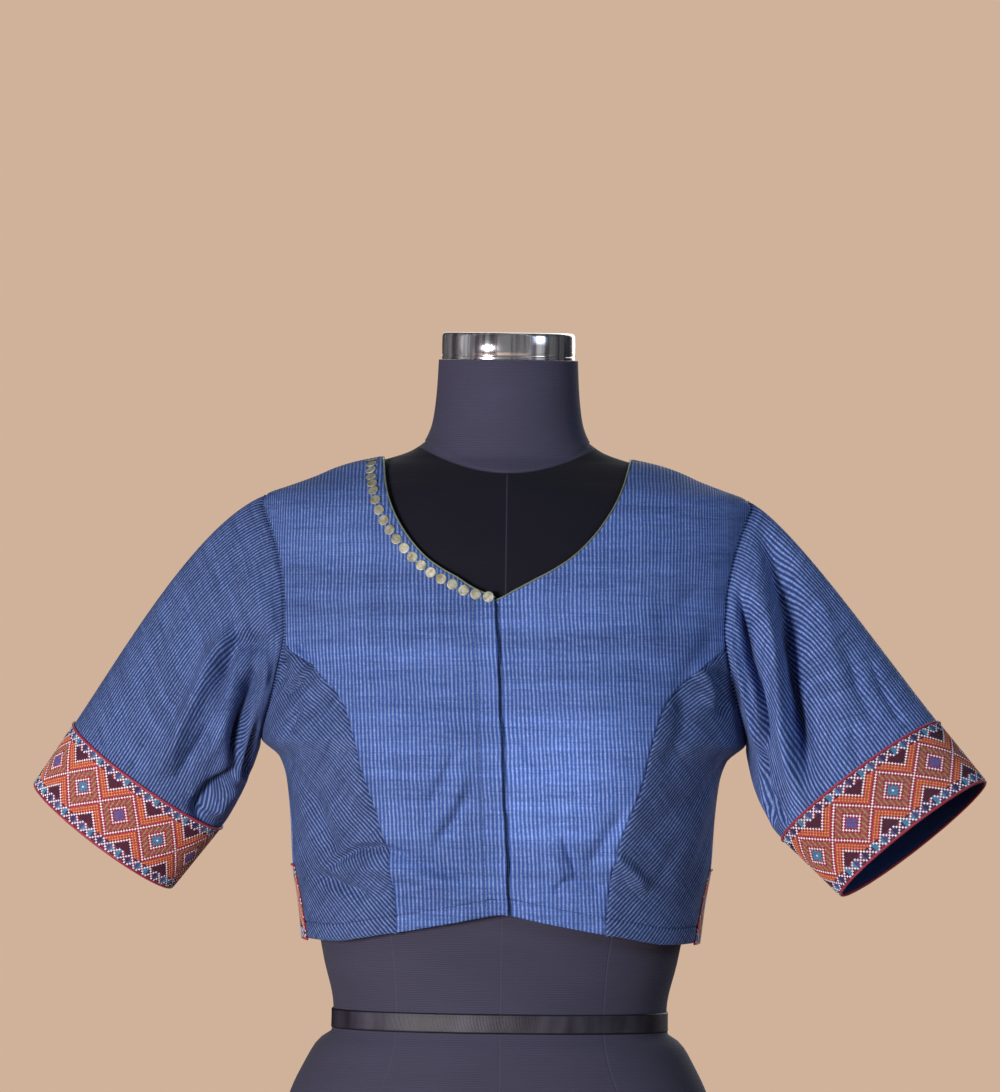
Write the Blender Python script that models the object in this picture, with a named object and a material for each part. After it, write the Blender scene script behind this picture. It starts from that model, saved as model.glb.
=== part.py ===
"""Sari blouse with elbow sleeves, worn on a limbless dress form.

The blouse is cut as two fronts with a V neck, two bias side fronts, one back with a patterned
hem band, two sleeves with patterned cuff bands, red pipings on the bands, an olive-gold piping
round the neck and a row of pale-gold discs along one side of the V.

Frame: metres, +Z up, the front faces -Y, the origin is at the centre of the form's flat base.
Sizes below are in millimetres and angles in degrees. Left and right are the wearer's.
"""

import math

import bpy
from mathutils import Vector

MM = 0.001
WEARERS_RIGHT = -1
WEARERS_LEFT = 1

# Cloth
CLOTH_WALL = 1.2
BAND_WALL = 1.6
DISC_WALL = 1.1
SEAM_GAP = 0.3
PIPING_RADIUS = 1.0
NECK_PIPING_RADIUS = 1.1

# Heights on the blouse
SHOULDER_TIP_HEIGHT = 656.0
ARMPIT_HEIGHT = 466.0
HEM_FRONT_HEIGHT = 333.5
BACK_BAND_HEIGHT = 56.0

# Mesh steps of the panels
HEM_TO_V_ROWS = 11
V_TO_SHOULDER_ROWS = 11
SIDE_FRONT_COLUMNS = 6
FRONT_COLUMNS = 8
BACK_ARMHOLE_ROWS = 14
ROWS_CROWD_TO_SHOULDER = 1.4
BACK_COLUMNS = 8
SLEEVE_ROWS = 10

# The cloth's outer face on the torso, by height
CLOTH_TORSO = (
    ("height", "half_width", "front", "back", "roundness"),
    (300.0, 153.5, 110.0, 101.0, 2.30),
    (340.0, 158.0, 110.5, 99.5, 2.30),
    (372.0, 163.0, 111.5, 99.0, 2.35),
    (405.0, 165.0, 112.5, 99.5, 2.40),
    (436.0, 168.5, 114.0, 101.0, 2.45),
    (452.0, 174.0, 114.5, 102.0, 2.45),
    (467.0, 189.0, 114.5, 103.0, 2.40),
    (500.0, 188.0, 113.0, 105.0, 2.30),
    (546.0, 186.0, 109.0, 106.5, 2.20),
    (577.0, 185.5, 105.5, 106.0, 2.10),
    (608.0, 186.5, 99.5, 103.0, 2.00),
    (640.0, 190.0, 90.0, 97.0, 1.80),
    (650.0, 191.5, 85.5, 93.2, 1.72),
    (656.5, 187.0, 82.5, 90.5, 1.66),
    (664.0, 168.0, 78.5, 87.0, 1.58),
    (670.0, 152.0, 74.5, 83.5, 1.54),
    (677.5, 135.0, 68.5, 78.0, 1.52),
    (682.5, 120.0, 64.0, 74.5, 1.52),
    (687.5, 97.0, 59.0, 71.0, 1.60),
)

# The dress form, by height: base, hips, waist, bust, shoulders and neck
FORM_TORSO = (
    ("height", "half_width", "front", "back", "roundness"),
    (0.0, 171.0, 112.0, 122.0, 2.30),
    (60.0, 175.0, 115.0, 127.0, 2.30),
    (110.0, 176.5, 117.0, 128.5, 2.30),
    (155.0, 172.5, 115.0, 125.5, 2.30),
    (192.0, 162.5, 111.0, 118.5, 2.28),
    (217.5, 150.5, 106.5, 108.0, 2.25),
    (233.0, 141.0, 102.5, 100.0, 2.22),
    (242.0, 129.8, 98.0, 92.0, 2.20),
    (258.0, 129.6, 97.5, 91.0, 2.20),
    (296.0, 137.5, 98.5, 89.0, 2.22),
    (340.0, 146.0, 101.0, 90.0, 2.28),
    (372.0, 152.0, 103.0, 91.5, 2.32),
    (405.0, 156.5, 106.0, 94.0, 2.38),
    (452.0, 163.0, 110.0, 97.5, 2.42),
    (500.0, 167.5, 108.5, 100.5, 2.30),
    (546.0, 169.0, 105.0, 102.5, 2.20),
    (577.0, 171.5, 101.5, 102.0, 2.10),
    (608.0, 176.0, 95.5, 99.0, 2.00),
    (636.0, 180.0, 86.5, 93.5, 1.82),
    (652.0, 183.0, 79.5, 87.5, 1.67),
    (661.2, 165.0, 75.5, 84.0, 1.58),
    (667.2, 149.0, 71.5, 80.5, 1.54),
    (674.7, 132.0, 65.5, 75.0, 1.53),
    (679.7, 117.0, 61.0, 71.5, 1.54),
    (684.8, 95.0, 57.0, 68.5, 1.64),
    (692.5, 73.5, 54.5, 66.0, 1.85),
    (701.5, 62.5, 53.5, 64.5, 2.00),
    (717.0, 57.2, 52.0, 62.0, 2.05),
    (740.0, 54.6, 50.5, 60.0, 2.05),
    (763.4, 53.4, 49.5, 59.5, 2.05),
)
FORM_COLUMNS = 40
FORM_RING_STEP = 44.0
NECK_TOP_SLOPE = 0.06
NECK_TOP_SLOPE_FROM = 717.0

# The rounded bust: its middle, and how far it rises and spreads in the cloth and on the form
BUST_HEIGHT = 452.0
BUST_FROM_CENTRE = 84.0
BUST_SPREAD_ACROSS = 46.0
CLOTH_BUST_RISE = 17.0
CLOTH_BUST_SPREAD_UP = 56.0
FORM_BUST_RISE = 15.5
FORM_BUST_SPREAD_UP = 50.0

# Centre front: the right front laps over the left one
LAP_EDGE_TOP = (-8.0, 574.5)
LAP_EDGE_HEM = (5.5, HEM_FRONT_HEIGHT)
UNDERLAP = 24.0
LAP_LIFT = 1.9
LAP_LIFT_FULL_WITHIN = 32.0
LAP_LIFT_ENDS_AT = 62.0

# Neck edge of each front, from the V to the shoulder, and of the back
NECK_EDGE_RIGHT = (
    ("across", "height"),
    (-8.0, 574.5),
    (-24.0, 581.6),
    (-37.1, 589.9),
    (-51.0, 597.9),
    (-64.3, 608.5),
    (-77.8, 624.9),
    (-87.5, 642.3),
    (-93.4, 661.0),
    (-97.0, 687.5),
)
NECK_EDGE_LEFT = (
    ("across", "height"),
    (-31.5, 563.0),
    (-6.0, 573.5),
    (5.0, 579.5),
    (20.9, 588.4),
    (36.9, 597.2),
    (52.9, 608.5),
    (69.0, 625.3),
    (82.1, 645.0),
    (90.5, 663.8),
    (97.0, 687.5),
)
NECK_EDGE_BACK = (
    ("across", "height"),
    (0.0, 592.0),
    (28.0, 595.0),
    (52.0, 604.0),
    (72.0, 620.0),
    (86.0, 641.0),
    (93.0, 663.0),
    (97.0, 687.5),
)

NECK_OPENING_MIDDLE = Vector((0.0, 0.0, 700.0))

# Princess seam from the hem to the armhole, on either side
PRINCESS_SEAM = (
    ("across", "height"),
    (80.0, 318.0),
    (81.5, 341.0),
    (86.5, 376.0),
    (97.0, 405.0),
    (106.5, 432.0),
    (113.5, 462.0),
    (121.0, 490.0),
    (131.0, 511.0),
    (149.0, 527.5),
)

# How many degrees the side seams run forward of the side lines at the hem
SIDE_SEAM_FORWARD = 15.0

# Hem height by the angle from centre front
HEM = (
    ("angle", "height"),
    (0.0, HEM_FRONT_HEIGHT),
    (12.0, 326.0),
    (30.0, 318.0),
    (55.0, 311.0),
    (90.0, 313.0),
    (135.0, 309.0),
    (180.0, 308.0),
)

# Armhole: an oval on the torso, scooped forward and back of the side line
ARMHOLE_SCOOP_FRONT = 24.0
ARMHOLE_SCOOP_BACK = 20.0
ARMHOLE_SCOOP_LEAN = 0.12
ARMHOLE_SCOOP_POWER = 1.3
PRINCESS_ENDS_AT_TURN = -13.0

# Soft folds in the fronts, dragged from the armhole to the bust: ends, depth and half-width
FRONT_FOLDS = (
    ("side", "across", "height", "across_end", "height_end", "depth", "spread"),
    (WEARERS_LEFT, 168.0, 560.0, 128.0, 492.0, 3.0, 9.0),
    (WEARERS_LEFT, 158.0, 600.0, 120.0, 548.0, 1.6, 10.0),
    (WEARERS_RIGHT, 170.0, 556.0, 136.0, 478.0, 3.2, 9.0),
    (WEARERS_RIGHT, 150.0, 440.0, 96.0, 398.0, 2.4, 8.0),
    (WEARERS_LEFT, 146.0, 430.0, 104.0, 388.0, 2.0, 8.0),
)

# Each sleeve's rings in front view: outer and inner corner, how far forward its middle is, and
# half its depth from front to back. The reaches say how full its head and its underside are.
SLEEVES = {
    WEARERS_RIGHT: {
        "band_top": dict(outer=(335.5, 475.5), inner=(220.0, 396.0), forward=-17.0, half_depth=47.0),
        "cuff": dict(outer=(366.0, 430.0), inner=(257.0, 349.5), forward=-27.0, half_depth=45.0),
        "head_reach": 0.72,
        "under_reach": 0.60,
    },
    WEARERS_LEFT: {
        "band_top": dict(outer=(336.5, 484.0), inner=(217.0, 393.0), forward=38.0, half_depth=42.0),
        "cuff": dict(outer=(371.5, 440.5), inner=(260.5, 351.5), forward=53.0, half_depth=40.0),
        "head_reach": 0.46,
        "under_reach": 1.00,
    },
}
SLEEVE_END_REACH = 0.88
SLEEVE_HEAD_SLOPE = (0.93, -0.36)
SLEEVE_START_SWING = 0.25
SLEEVE_FOLD_ROUND = 62.0
SLEEVE_FOLD_LONG = 150.0

# Folds in the sleeves: turn is the angle round the sleeve (0 front, 90 top, -90 underside) and
# way runs from the armhole at 0 to the band at 1
SLEEVE_FOLDS = (
    ("side", "turn", "way", "turn_end", "way_end", "depth", "spread"),
    (WEARERS_LEFT, 30.0, 0.00, -34.0, 0.86, 8.0, 9.0),
    (WEARERS_LEFT, -14.0, 0.10, -66.0, 0.90, 8.0, 8.0),
    (WEARERS_LEFT, 10.0, 0.08, -50.0, 0.92, -5.0, 9.0),
    (WEARERS_LEFT, -100.0, 0.10, -96.0, 0.80, 5.0, 10.0),
    (WEARERS_LEFT, 196.0, 0.05, 236.0, 0.75, 6.0, 10.0),
    (WEARERS_RIGHT, -30.0, 0.05, -52.0, 0.92, 8.0, 8.0),
    (WEARERS_RIGHT, 6.0, 0.05, -22.0, 0.50, 5.0, 9.0),
    (WEARERS_RIGHT, -62.0, 0.12, -78.0, 0.80, -5.0, 9.0),
    (WEARERS_RIGHT, -100.0, 0.15, -104.0, 0.85, 5.0, 9.0),
    (WEARERS_RIGHT, 200.0, 0.05, 238.0, 0.70, 6.0, 10.0),
)

# Discs along the right front's neck edge
DISC_COUNT = 20
DISC_RADIUS = 4.2
DISC_STRIP_NECK = 0.45
DISC_STATIONS_EACH = 4
DISC_OUT = SEAM_GAP + 0.2 + DISC_WALL
DISC_TOP_HEIGHT = 684.0
DISC_ROW = (
    ("way", "from_edge"),
    (0.0, 5.6),
    (0.1, 6.2),
    (0.3, 7.2),
    (0.6, 8.6),
    (0.85, 9.6),
    (1.0, 8.0),
)

# Waist tape and neck cap of the form
TAPE_HEIGHTS = (242.4, 257.6)
TAPE_WALL = 1.0
CAP_GAP = 0.3
CAP_HEIGHT = 21.0
CAP_ROUNDING = (("rise", "scale"), (0.0, 0.97), (0.86, 0.97), (0.97, 0.945), (1.0, 0.90))


class SmoothTable:
    """Named columns read against the first one, by a smooth curve that never overshoots a row."""

    def __init__(self, table):
        self.names = table[0][1:]
        self.at = [row[0] for row in table[1:]]
        self.columns = {}
        for place, name in enumerate(self.names, start=1):
            values = [row[place] for row in table[1:]]
            self.columns[name] = (values, self.slopes(values))

    def slopes(self, values):
        steps = [b - a for a, b in zip(self.at, self.at[1:])]
        rises = [(b - a) / step for a, b, step in zip(values, values[1:], steps)]
        inner = []
        for before, after in zip(rises, rises[1:]):
            inner.append(2.0 * before * after / (before + after) if before * after > 0 else 0.0)
        return [rises[0]] + inner + [rises[-1]]

    def read(self, name, at):
        values, slopes = self.columns[name]
        at = min(max(at, self.at[0]), self.at[-1])
        row = max(i for i in range(len(self.at) - 1) if self.at[i] <= at)
        width = self.at[row + 1] - self.at[row]
        s = (at - self.at[row]) / width
        start = (1 + 2 * s) * (1 - s) ** 2 * values[row] + s * (1 - s) ** 2 * width * slopes[row]
        end = s * s * (3 - 2 * s) * values[row + 1] - s * s * (1 - s) * width * slopes[row + 1]
        return start + end


class Torso(SmoothTable):
    """A torso's ovals by height, with the bust that stands forward of them."""

    def __init__(self, table, bust_rise, bust_spread_up):
        super().__init__(table)
        self.bust_rise = bust_rise
        self.bust_spread_up = bust_spread_up

    def bust(self, across, height):
        """How far the bust pushes the front forward of the plain oval."""
        sides = 0.0
        for side in (WEARERS_RIGHT, WEARERS_LEFT):
            off = (across - side * BUST_FROM_CENTRE) / BUST_SPREAD_ACROSS
            sides += math.exp(-0.5 * off * off)
        up = (height - BUST_HEIGHT) / self.bust_spread_up
        fade = max(0.0, 1.0 - (abs(across) / self.read("half_width", height)) ** 4)
        return self.bust_rise * sides * math.exp(-0.5 * up * up) * fade


cloth_torso = Torso(CLOTH_TORSO, CLOTH_BUST_RISE, CLOTH_BUST_SPREAD_UP)
form_torso = Torso(FORM_TORSO, FORM_BUST_RISE, FORM_BUST_SPREAD_UP)
hem_line = SmoothTable(HEM)
disc_row = SmoothTable(DISC_ROW)
cap_profile = CAP_ROUNDING[1:]


def smooth_step(start, end, value):
    s = min(max((value - start) / (end - start), 0.0), 1.0)
    return s * s * (3.0 - 2.0 * s)


def signed_power(value, power):
    return math.copysign(abs(value) ** power, value)


def even_shares(count):
    return [i / count for i in range(count + 1)]


def crowded_shares(count, power=ROWS_CROWD_TO_SHOULDER):
    """Shares from 0 to 1 that lie closer together towards 1."""
    return [1.0 - (1.0 - i / count) ** power for i in range(count + 1)]


def points_along(table, shares):
    """Points at shares of the length of a smooth curve through a table of (across, height)."""
    knots = [Vector(row) for row in table[1:]]
    ends = [2 * knots[0] - knots[1]] + knots + [2 * knots[-1] - knots[-2]]
    dense = []
    pieces = 24
    for a, b, c, d in zip(ends, ends[1:], ends[2:], ends[3:]):
        for i in range(pieces):
            s = i / pieces
            dense.append(
                0.5 * (2 * b + (c - a) * s + (2 * a - 5 * b + 4 * c - d) * s**2 + (3 * b - a - 3 * c + d) * s**3)
            )
    dense.append(knots[-1])
    reach = [0.0]
    for a, b in zip(dense, dense[1:]):
        reach.append(reach[-1] + (b - a).length)
    points = []
    for part in shares:
        want = reach[-1] * part
        k = max(j for j in range(len(dense) - 1) if reach[j] <= want + 1e-9)
        share = (want - reach[k]) / (reach[k + 1] - reach[k])
        points.append(dense[k].lerp(dense[k + 1], min(share, 1.0)))
    return points


def torso_surface(sizes, angle, height):
    """Point on a torso oval. Angle runs from 0 at centre front, through 90 at the wearer's left
    side line, to 180 at centre back; the right side has negative angles."""
    turn = math.radians(angle)
    power = 2.0 / sizes.read("roundness", height)
    across = sizes.read("half_width", height) * signed_power(math.sin(turn), power)
    forward = math.cos(turn)
    if forward >= 0.0:
        y = -sizes.read("front", height) * forward**power - sizes.bust(across, height)
    else:
        y = sizes.read("back", height) * (-forward) ** power
    return Vector((across, y, height))


def torso_outward(sizes, angle, height):
    """Unit vector square to the torso oval."""
    round_step = torso_surface(sizes, angle + 1.0, height) - torso_surface(sizes, angle - 1.0, height)
    up_step = torso_surface(sizes, angle, height + 1.0) - torso_surface(sizes, angle, height - 1.0)
    return round_step.cross(up_step).normalized()


def angle_at(sizes, across, height):
    """The angle of the front's point that is this far across at this height."""
    share = min(abs(across) / sizes.read("half_width", height), 1.0)
    turn = math.degrees(math.asin(share ** (sizes.read("roundness", height) / 2.0)))
    return math.copysign(turn, across)


def fold_depth(folds, side, at, along, scale):
    """Depth of the folds of one side at a place. Each fold is a soft trough between two ends."""
    depth = 0.0
    for fold in folds[1:]:
        of_side, a0, b0, a1, b1, deep, spread = fold
        if of_side != side:
            continue
        start = Vector((a0 * scale[0], b0 * scale[1]))
        end = Vector((a1 * scale[0], b1 * scale[1]))
        spot = Vector((at * scale[0], along * scale[1]))
        line = end - start
        way = (spot - start).dot(line) / line.length_squared
        off = abs((spot - start).cross(line)) / line.length
        ends = smooth_step(-0.10, 0.25, way) * (1.0 - smooth_step(0.70, 1.10, way))
        depth += deep * ends * math.exp(-((off / spread) ** 2))
    return depth


class Spot:
    """A point of a cloth's outer face and the direction square to it."""

    def __init__(self, at, outward):
        self.at = at
        self.outward = outward

    def moved_out(self, by):
        return self.at + self.outward * by


def cloth_spot(angle, height, out=0.0, lapped=False):
    """Spot of the worn cloth's outer face, moved out along its square direction."""
    plain = torso_surface(cloth_torso, angle, height)
    outward = torso_outward(cloth_torso, angle, height)
    if abs(angle) < 90.0:
        side = WEARERS_LEFT if angle > 0 else WEARERS_RIGHT
        out -= fold_depth(FRONT_FOLDS, side, abs(plain.x), height, (1.0, 1.0))
    if lapped:
        from_edge = lap_edge_across(height) - plain.x
        out += LAP_LIFT * (1.0 - smooth_step(LAP_LIFT_FULL_WITHIN, LAP_LIFT_ENDS_AT, from_edge))
    return Spot(plain + outward * out, outward)


def lap_edge_across(height):
    """Where the right front's lapped edge runs at this height."""
    share = (height - LAP_EDGE_HEM[1]) / (LAP_EDGE_TOP[1] - LAP_EDGE_HEM[1])
    return LAP_EDGE_HEM[0] + (LAP_EDGE_TOP[0] - LAP_EDGE_HEM[0]) * share


def armhole_place(turn):
    """(angle, height) on the armhole. Turn is 90 at the shoulder tip, 0 at the front, -90 at the
    armpit and 180 at the back."""
    rise = math.sin(math.radians(turn))
    forward = math.cos(math.radians(turn))
    height = 0.5 * (SHOULDER_TIP_HEIGHT + ARMPIT_HEIGHT) + 0.5 * (SHOULDER_TIP_HEIGHT - ARMPIT_HEIGHT) * rise
    scoop = ARMHOLE_SCOOP_FRONT if forward >= 0 else -ARMHOLE_SCOOP_BACK
    scoop *= abs(forward) ** ARMHOLE_SCOOP_POWER * (1.0 - ARMHOLE_SCOOP_LEAN * rise)
    return (90.0 - scoop, height)


def turns_between(start, end, shares):
    return [start + (end - start) * share for share in shares]


NECK_SHARES = crowded_shares(V_TO_SHOULDER_ROWS)
FRONT_TURNS = turns_between(PRINCESS_ENDS_AT_TURN, 90.0, NECK_SHARES)
UNDERARM_TURNS = turns_between(-90.0, PRINCESS_ENDS_AT_TURN, even_shares(SIDE_FRONT_COLUMNS))
BACK_TURNS = turns_between(270.0, 90.0, crowded_shares(BACK_ARMHOLE_ROWS))[::-1]
SLEEVE_TURNS = UNDERARM_TURNS[:-1] + FRONT_TURNS[:-1] + BACK_TURNS[:-1]


def places_on_front(table, shares):
    """(angle, height) at shares of the length of a line drawn in front view."""
    return [(angle_at(cloth_torso, x, z), z) for x, z in points_along(table, shares)]


def princess_places():
    """The princess seam from the hem to where it meets the armhole."""
    places = places_on_front(PRINCESS_SEAM, even_shares(HEM_TO_V_ROWS - 1))
    places[0] = (places[0][0], hem_line.read("height", places[0][0]))
    return places + [armhole_place(PRINCESS_ENDS_AT_TURN)]


def grid_between(rail_a, rail_b, columns, side, spot_at, hem_rows):
    """Rows of spots between two rails of (angle, height). The lowest row follows the hem, and
    the rows over it ease back to straight ones within hem_rows."""
    grid = []
    for row, (a, b) in enumerate(zip(rail_a, rail_b)):
        ease = max(0.0, 1.0 - row / hem_rows)
        line = []
        for share in even_shares(columns):
            angle = a[0] + (b[0] - a[0]) * share
            height = a[1] + (b[1] - a[1]) * share
            bottom_angle = rail_a[0][0] + (rail_b[0][0] - rail_a[0][0]) * share
            bottom_height = rail_a[0][1] + (rail_b[0][1] - rail_a[0][1]) * share
            height += (hem_line.read("height", abs(bottom_angle)) - bottom_height) * ease
            line.append(spot_at(side * angle, height))
        grid.append(line)
    return grid


def step_towards(spot, other, by):
    return (other.at - spot.at).normalized() * by


def draw_back(grid, edges, by=0.7 * SEAM_GAP):
    """The grid with its named edges moved inwards by a little over half a seam's gap."""
    last = len(grid) - 1
    end = len(grid[0]) - 1
    moved = []
    for i, line in enumerate(grid):
        moved.append([])
        for j, spot in enumerate(line):
            move = Vector()
            if "low" in edges and i == 0:
                move += step_towards(spot, grid[1][j], by)
            if "high" in edges and i == last:
                move += step_towards(spot, grid[last - 1][j], by)
            if "first" in edges and j == 0:
                move += step_towards(spot, line[1], by)
            if "final" in edges and j == end:
                move += step_towards(spot, line[end - 1], by)
            moved[-1].append(Spot(spot.at + move, spot.outward))
    return moved


def new_material(name, colour, roughness, metallic=0.0):
    material = bpy.data.materials.new(name)
    material.use_nodes = True
    shader = material.node_tree.nodes["Principled BSDF"]
    shader.inputs["Base Color"].default_value = (*colour, 1.0)
    shader.inputs["Roughness"].default_value = roughness
    shader.inputs["Metallic"].default_value = metallic
    return material


def place_object(name, data, collection, material):
    made = bpy.data.objects.new(name, data)
    data.materials.append(material)
    collection.objects.link(made)
    return made


def cloth_wall(name, grids, collection, material, wall, closed=False):
    """A cloth wall behind one or more grids of spots. Its inner face lies square to each spot,
    so that two pieces mitre where they meet. Grids that share points are welded, and a closed
    grid's last column meets its first."""
    outer = []
    inner = []
    index = {}

    def number(spot):
        key = tuple(round(c, 4) for c in spot.at)
        if key not in index:
            index[key] = len(outer)
            outer.append(spot.at * MM)
            inner.append(spot.moved_out(-wall) * MM)
        return index[key]

    faces = []
    for grid in grids:
        columns = len(grid[0])
        for low, high in zip(grid, grid[1:]):
            for j in range(columns if closed else columns - 1):
                k = (j + 1) % columns
                corners = [number(spot) for spot in (low[j], low[k], high[k], high[j])]
                faces.append(tuple(dict.fromkeys(corners)))
    sides = {(a, b) for face in faces for a, b in zip(face, face[1:] + face[:1])}
    count = len(outer)
    skin = list(faces)
    skin += [tuple(count + i for i in reversed(face)) for face in faces]
    skin += [(b, a, count + a, count + b) for a, b in sorted(sides) if (b, a) not in sides]
    mesh = bpy.data.meshes.new(name)
    mesh.from_pydata(outer + inner, [], skin)
    mesh.shade_smooth()
    mesh.set_sharp_from_angle(angle=math.radians(50.0))
    return place_object(name, mesh, collection, material)


def flipped(grid):
    """The same grid with its columns in the other order, so that its faces turn over."""
    return [list(reversed(line)) for line in grid]


def tube(name, points, radius, collection, material, cyclic=False):
    """A cord of piping along points."""
    curve = bpy.data.curves.new(name, "CURVE")
    curve.dimensions = "3D"
    curve.bevel_depth = radius * MM
    curve.bevel_resolution = 0
    curve.use_fill_caps = not cyclic
    spline = curve.splines.new("POLY")
    spline.points.add(len(points) - 1)
    for spot, point in zip(spline.points, points):
        spot.co = (*(point * MM), 1.0)
    spline.use_cyclic_u = cyclic
    return place_object(name, curve, collection, material)


def closed_loft(name, rings, collection, material, capped=True):
    """A solid skin over rings of points, closed by flat ends or, uncapped, from the last ring
    back to the first."""
    count = len(rings[0])
    points = [point * MM for ring in rings for point in ring]
    faces = []
    pairs = len(rings) - 1 if capped else len(rings)
    for i in range(pairs):
        low = i * count
        high = (i + 1) % len(rings) * count
        for j in range(count):
            k = (j + 1) % count
            faces.append((low + j, low + k, high + k, high + j))
    if capped:
        faces.append(tuple(reversed(range(count))))
        faces.append(tuple(range(len(points) - count, len(points))))
    mesh = bpy.data.meshes.new(name)
    mesh.from_pydata(points, [], faces)
    mesh.shade_smooth()
    mesh.set_sharp_from_angle(angle=math.radians(40.0))
    return place_object(name, mesh, collection, material)


def make_front(side, collection, material):
    """A front, from its lap at centre front to the princess seam and the armhole."""
    over = side == WEARERS_RIGHT
    underlap = 0.0 if over else UNDERLAP
    neck_table = NECK_EDGE_RIGHT if over else NECK_EDGE_LEFT
    top_across, top_height = neck_table[1]
    centre = []
    for i in range(HEM_TO_V_ROWS):
        height = HEM_FRONT_HEIGHT + (top_height - HEM_FRONT_HEIGHT) * i / HEM_TO_V_ROWS
        across = lap_edge_across(height) - underlap
        centre.append((side * angle_at(cloth_torso, across, height), height))
    neck = [(side * a, z) for a, z in places_on_front(neck_table, NECK_SHARES)]
    seam = princess_places() + [armhole_place(turn) for turn in FRONT_TURNS[1:]]

    def spot_at(angle, height):
        return cloth_spot(angle, height, lapped=over)

    grid = grid_between(centre + neck, seam, FRONT_COLUMNS, side, spot_at, HEM_TO_V_ROWS)
    grid = draw_back(grid, ("high", "final"))
    name = "front_right" if over else "front_left"
    if over:
        grid = flipped(grid)
    return cloth_wall(name, [grid], collection, material, CLOTH_WALL)


def side_seam_places():
    """The side seam from the hem, where it runs forward of the side line, to the armpit."""
    low = 90.0 - SIDE_SEAM_FORWARD
    bottom = hem_line.read("height", low)
    places = []
    for share in even_shares(HEM_TO_V_ROWS):
        height = bottom + (ARMPIT_HEIGHT - bottom) * share
        places.append((90.0 - SIDE_SEAM_FORWARD * (1.0 - share), height))
    return places


def make_side_front(side, collection, material):
    """A side front, blended from its four edges: the princess seam, the side seam, the hem and
    the armhole."""
    seam = [Vector(place) for place in princess_places()]
    side_seam = [Vector(place) for place in side_seam_places()]
    rows = len(seam) - 1
    grid = []
    for i, (first, final) in enumerate(zip(seam, side_seam)):
        up = i / rows
        line = []
        for share, turn in zip(even_shares(SIDE_FRONT_COLUMNS), reversed(UNDERARM_TURNS)):
            low = seam[0].lerp(side_seam[0], share)
            high = seam[-1].lerp(side_seam[-1], share)
            hem = Vector((low.x, hem_line.read("height", low.x)))
            along = hem.lerp(Vector(armhole_place(turn)), up)
            angle, height = first.lerp(final, share) + along - low.lerp(high, up)
            line.append(cloth_spot(side * angle, height))
        grid.append(line)
    grid = draw_back(grid, ("high", "first", "final"))
    name = "side_front_right" if side == WEARERS_RIGHT else "side_front_left"
    if side == WEARERS_RIGHT:
        grid = flipped(grid)
    return cloth_wall(name, [grid], collection, material, CLOTH_WALL)


def back_side_rail():
    """The back's side seam and armhole, from the hem to the shoulder tip."""
    climb = [armhole_place(turn) for turn in reversed(BACK_TURNS)]
    return side_seam_places() + climb[1:]


def back_centre_rail(rows):
    """The centre back line from the hem up to the neck, then the neck edge to the shoulder. As
    far as the band reaches, its rows are as high as those of the side seam."""
    band_rows = back_band_row()
    plain_rows = rows - V_TO_SHOULDER_ROWS - band_rows
    low = hem_line.read("height", 180.0)
    band_top = low + BACK_BAND_HEIGHT
    neck = NECK_EDGE_BACK[1][1]
    places = [(180.0, low + BACK_BAND_HEIGHT * i / band_rows) for i in range(band_rows)]
    places += [(180.0, band_top + (neck - band_top) * i / plain_rows) for i in range(plain_rows)]
    edge = places_on_front(NECK_EDGE_BACK, NECK_SHARES)
    return places + [(180.0 - angle, height) for angle, height in edge]


def back_grids(low_row, high_row, edges, out=0.0):
    """The two halves of the back between two of its rows, welded along centre back."""
    side_rail = back_side_rail()
    centre_rail = back_centre_rail(len(side_rail) - 1)
    halves = []
    for side in (WEARERS_LEFT, WEARERS_RIGHT):
        grid = grid_between(
            side_rail, centre_rail, BACK_COLUMNS, side, lambda a, h: cloth_spot(a, h, out), HEM_TO_V_ROWS
        )
        grid = draw_back(grid[low_row : high_row + 1], edges)
        halves.append(flipped(grid) if side == WEARERS_RIGHT else grid)
    return halves


def back_band_row():
    """The back's row that lies nearest to the band's upper edge."""
    rail = side_seam_places()
    rise = [height - rail[0][1] for _, height in rail]
    return min(range(len(rise)), key=lambda i: abs(rise[i] - BACK_BAND_HEIGHT))


def make_back(collection, cloth, band, piping):
    """The back, its hem band below it, and the band's two pipings."""
    seam_row = back_band_row()
    rows = len(back_side_rail()) - 1
    upper = back_grids(seam_row, rows, ("first", "high", "low"))
    lower = back_grids(0, seam_row, ("first", "high"))
    cloth_wall("back", upper, collection, cloth, CLOTH_WALL)
    cloth_wall("back_band", lower, collection, band, BAND_WALL)
    trims = {"back_band_piping_top": (seam_row, PIPING_RADIUS + SEAM_GAP, 0.0)}
    trims["back_band_piping_hem"] = (0, -0.5 * BAND_WALL, -PIPING_RADIUS - SEAM_GAP)
    for name, (row, out, rise) in trims.items():
        left, right = back_grids(row, row + 1, ("first",), out)
        points = [spot.at + Vector((0.0, 0.0, rise)) for spot in left[0] + right[0][1:]]
        tube(name, points, PIPING_RADIUS, collection, piping)


def ring_middle(side, ring):
    """Middle of a sleeve ring, halfway between its corners and forward by its own measure."""
    across = 0.5 * (ring["outer"][0] + ring["inner"][0])
    height = 0.5 * (ring["outer"][1] + ring["inner"][1])
    return Vector((side * across, -ring["forward"], height))


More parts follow.
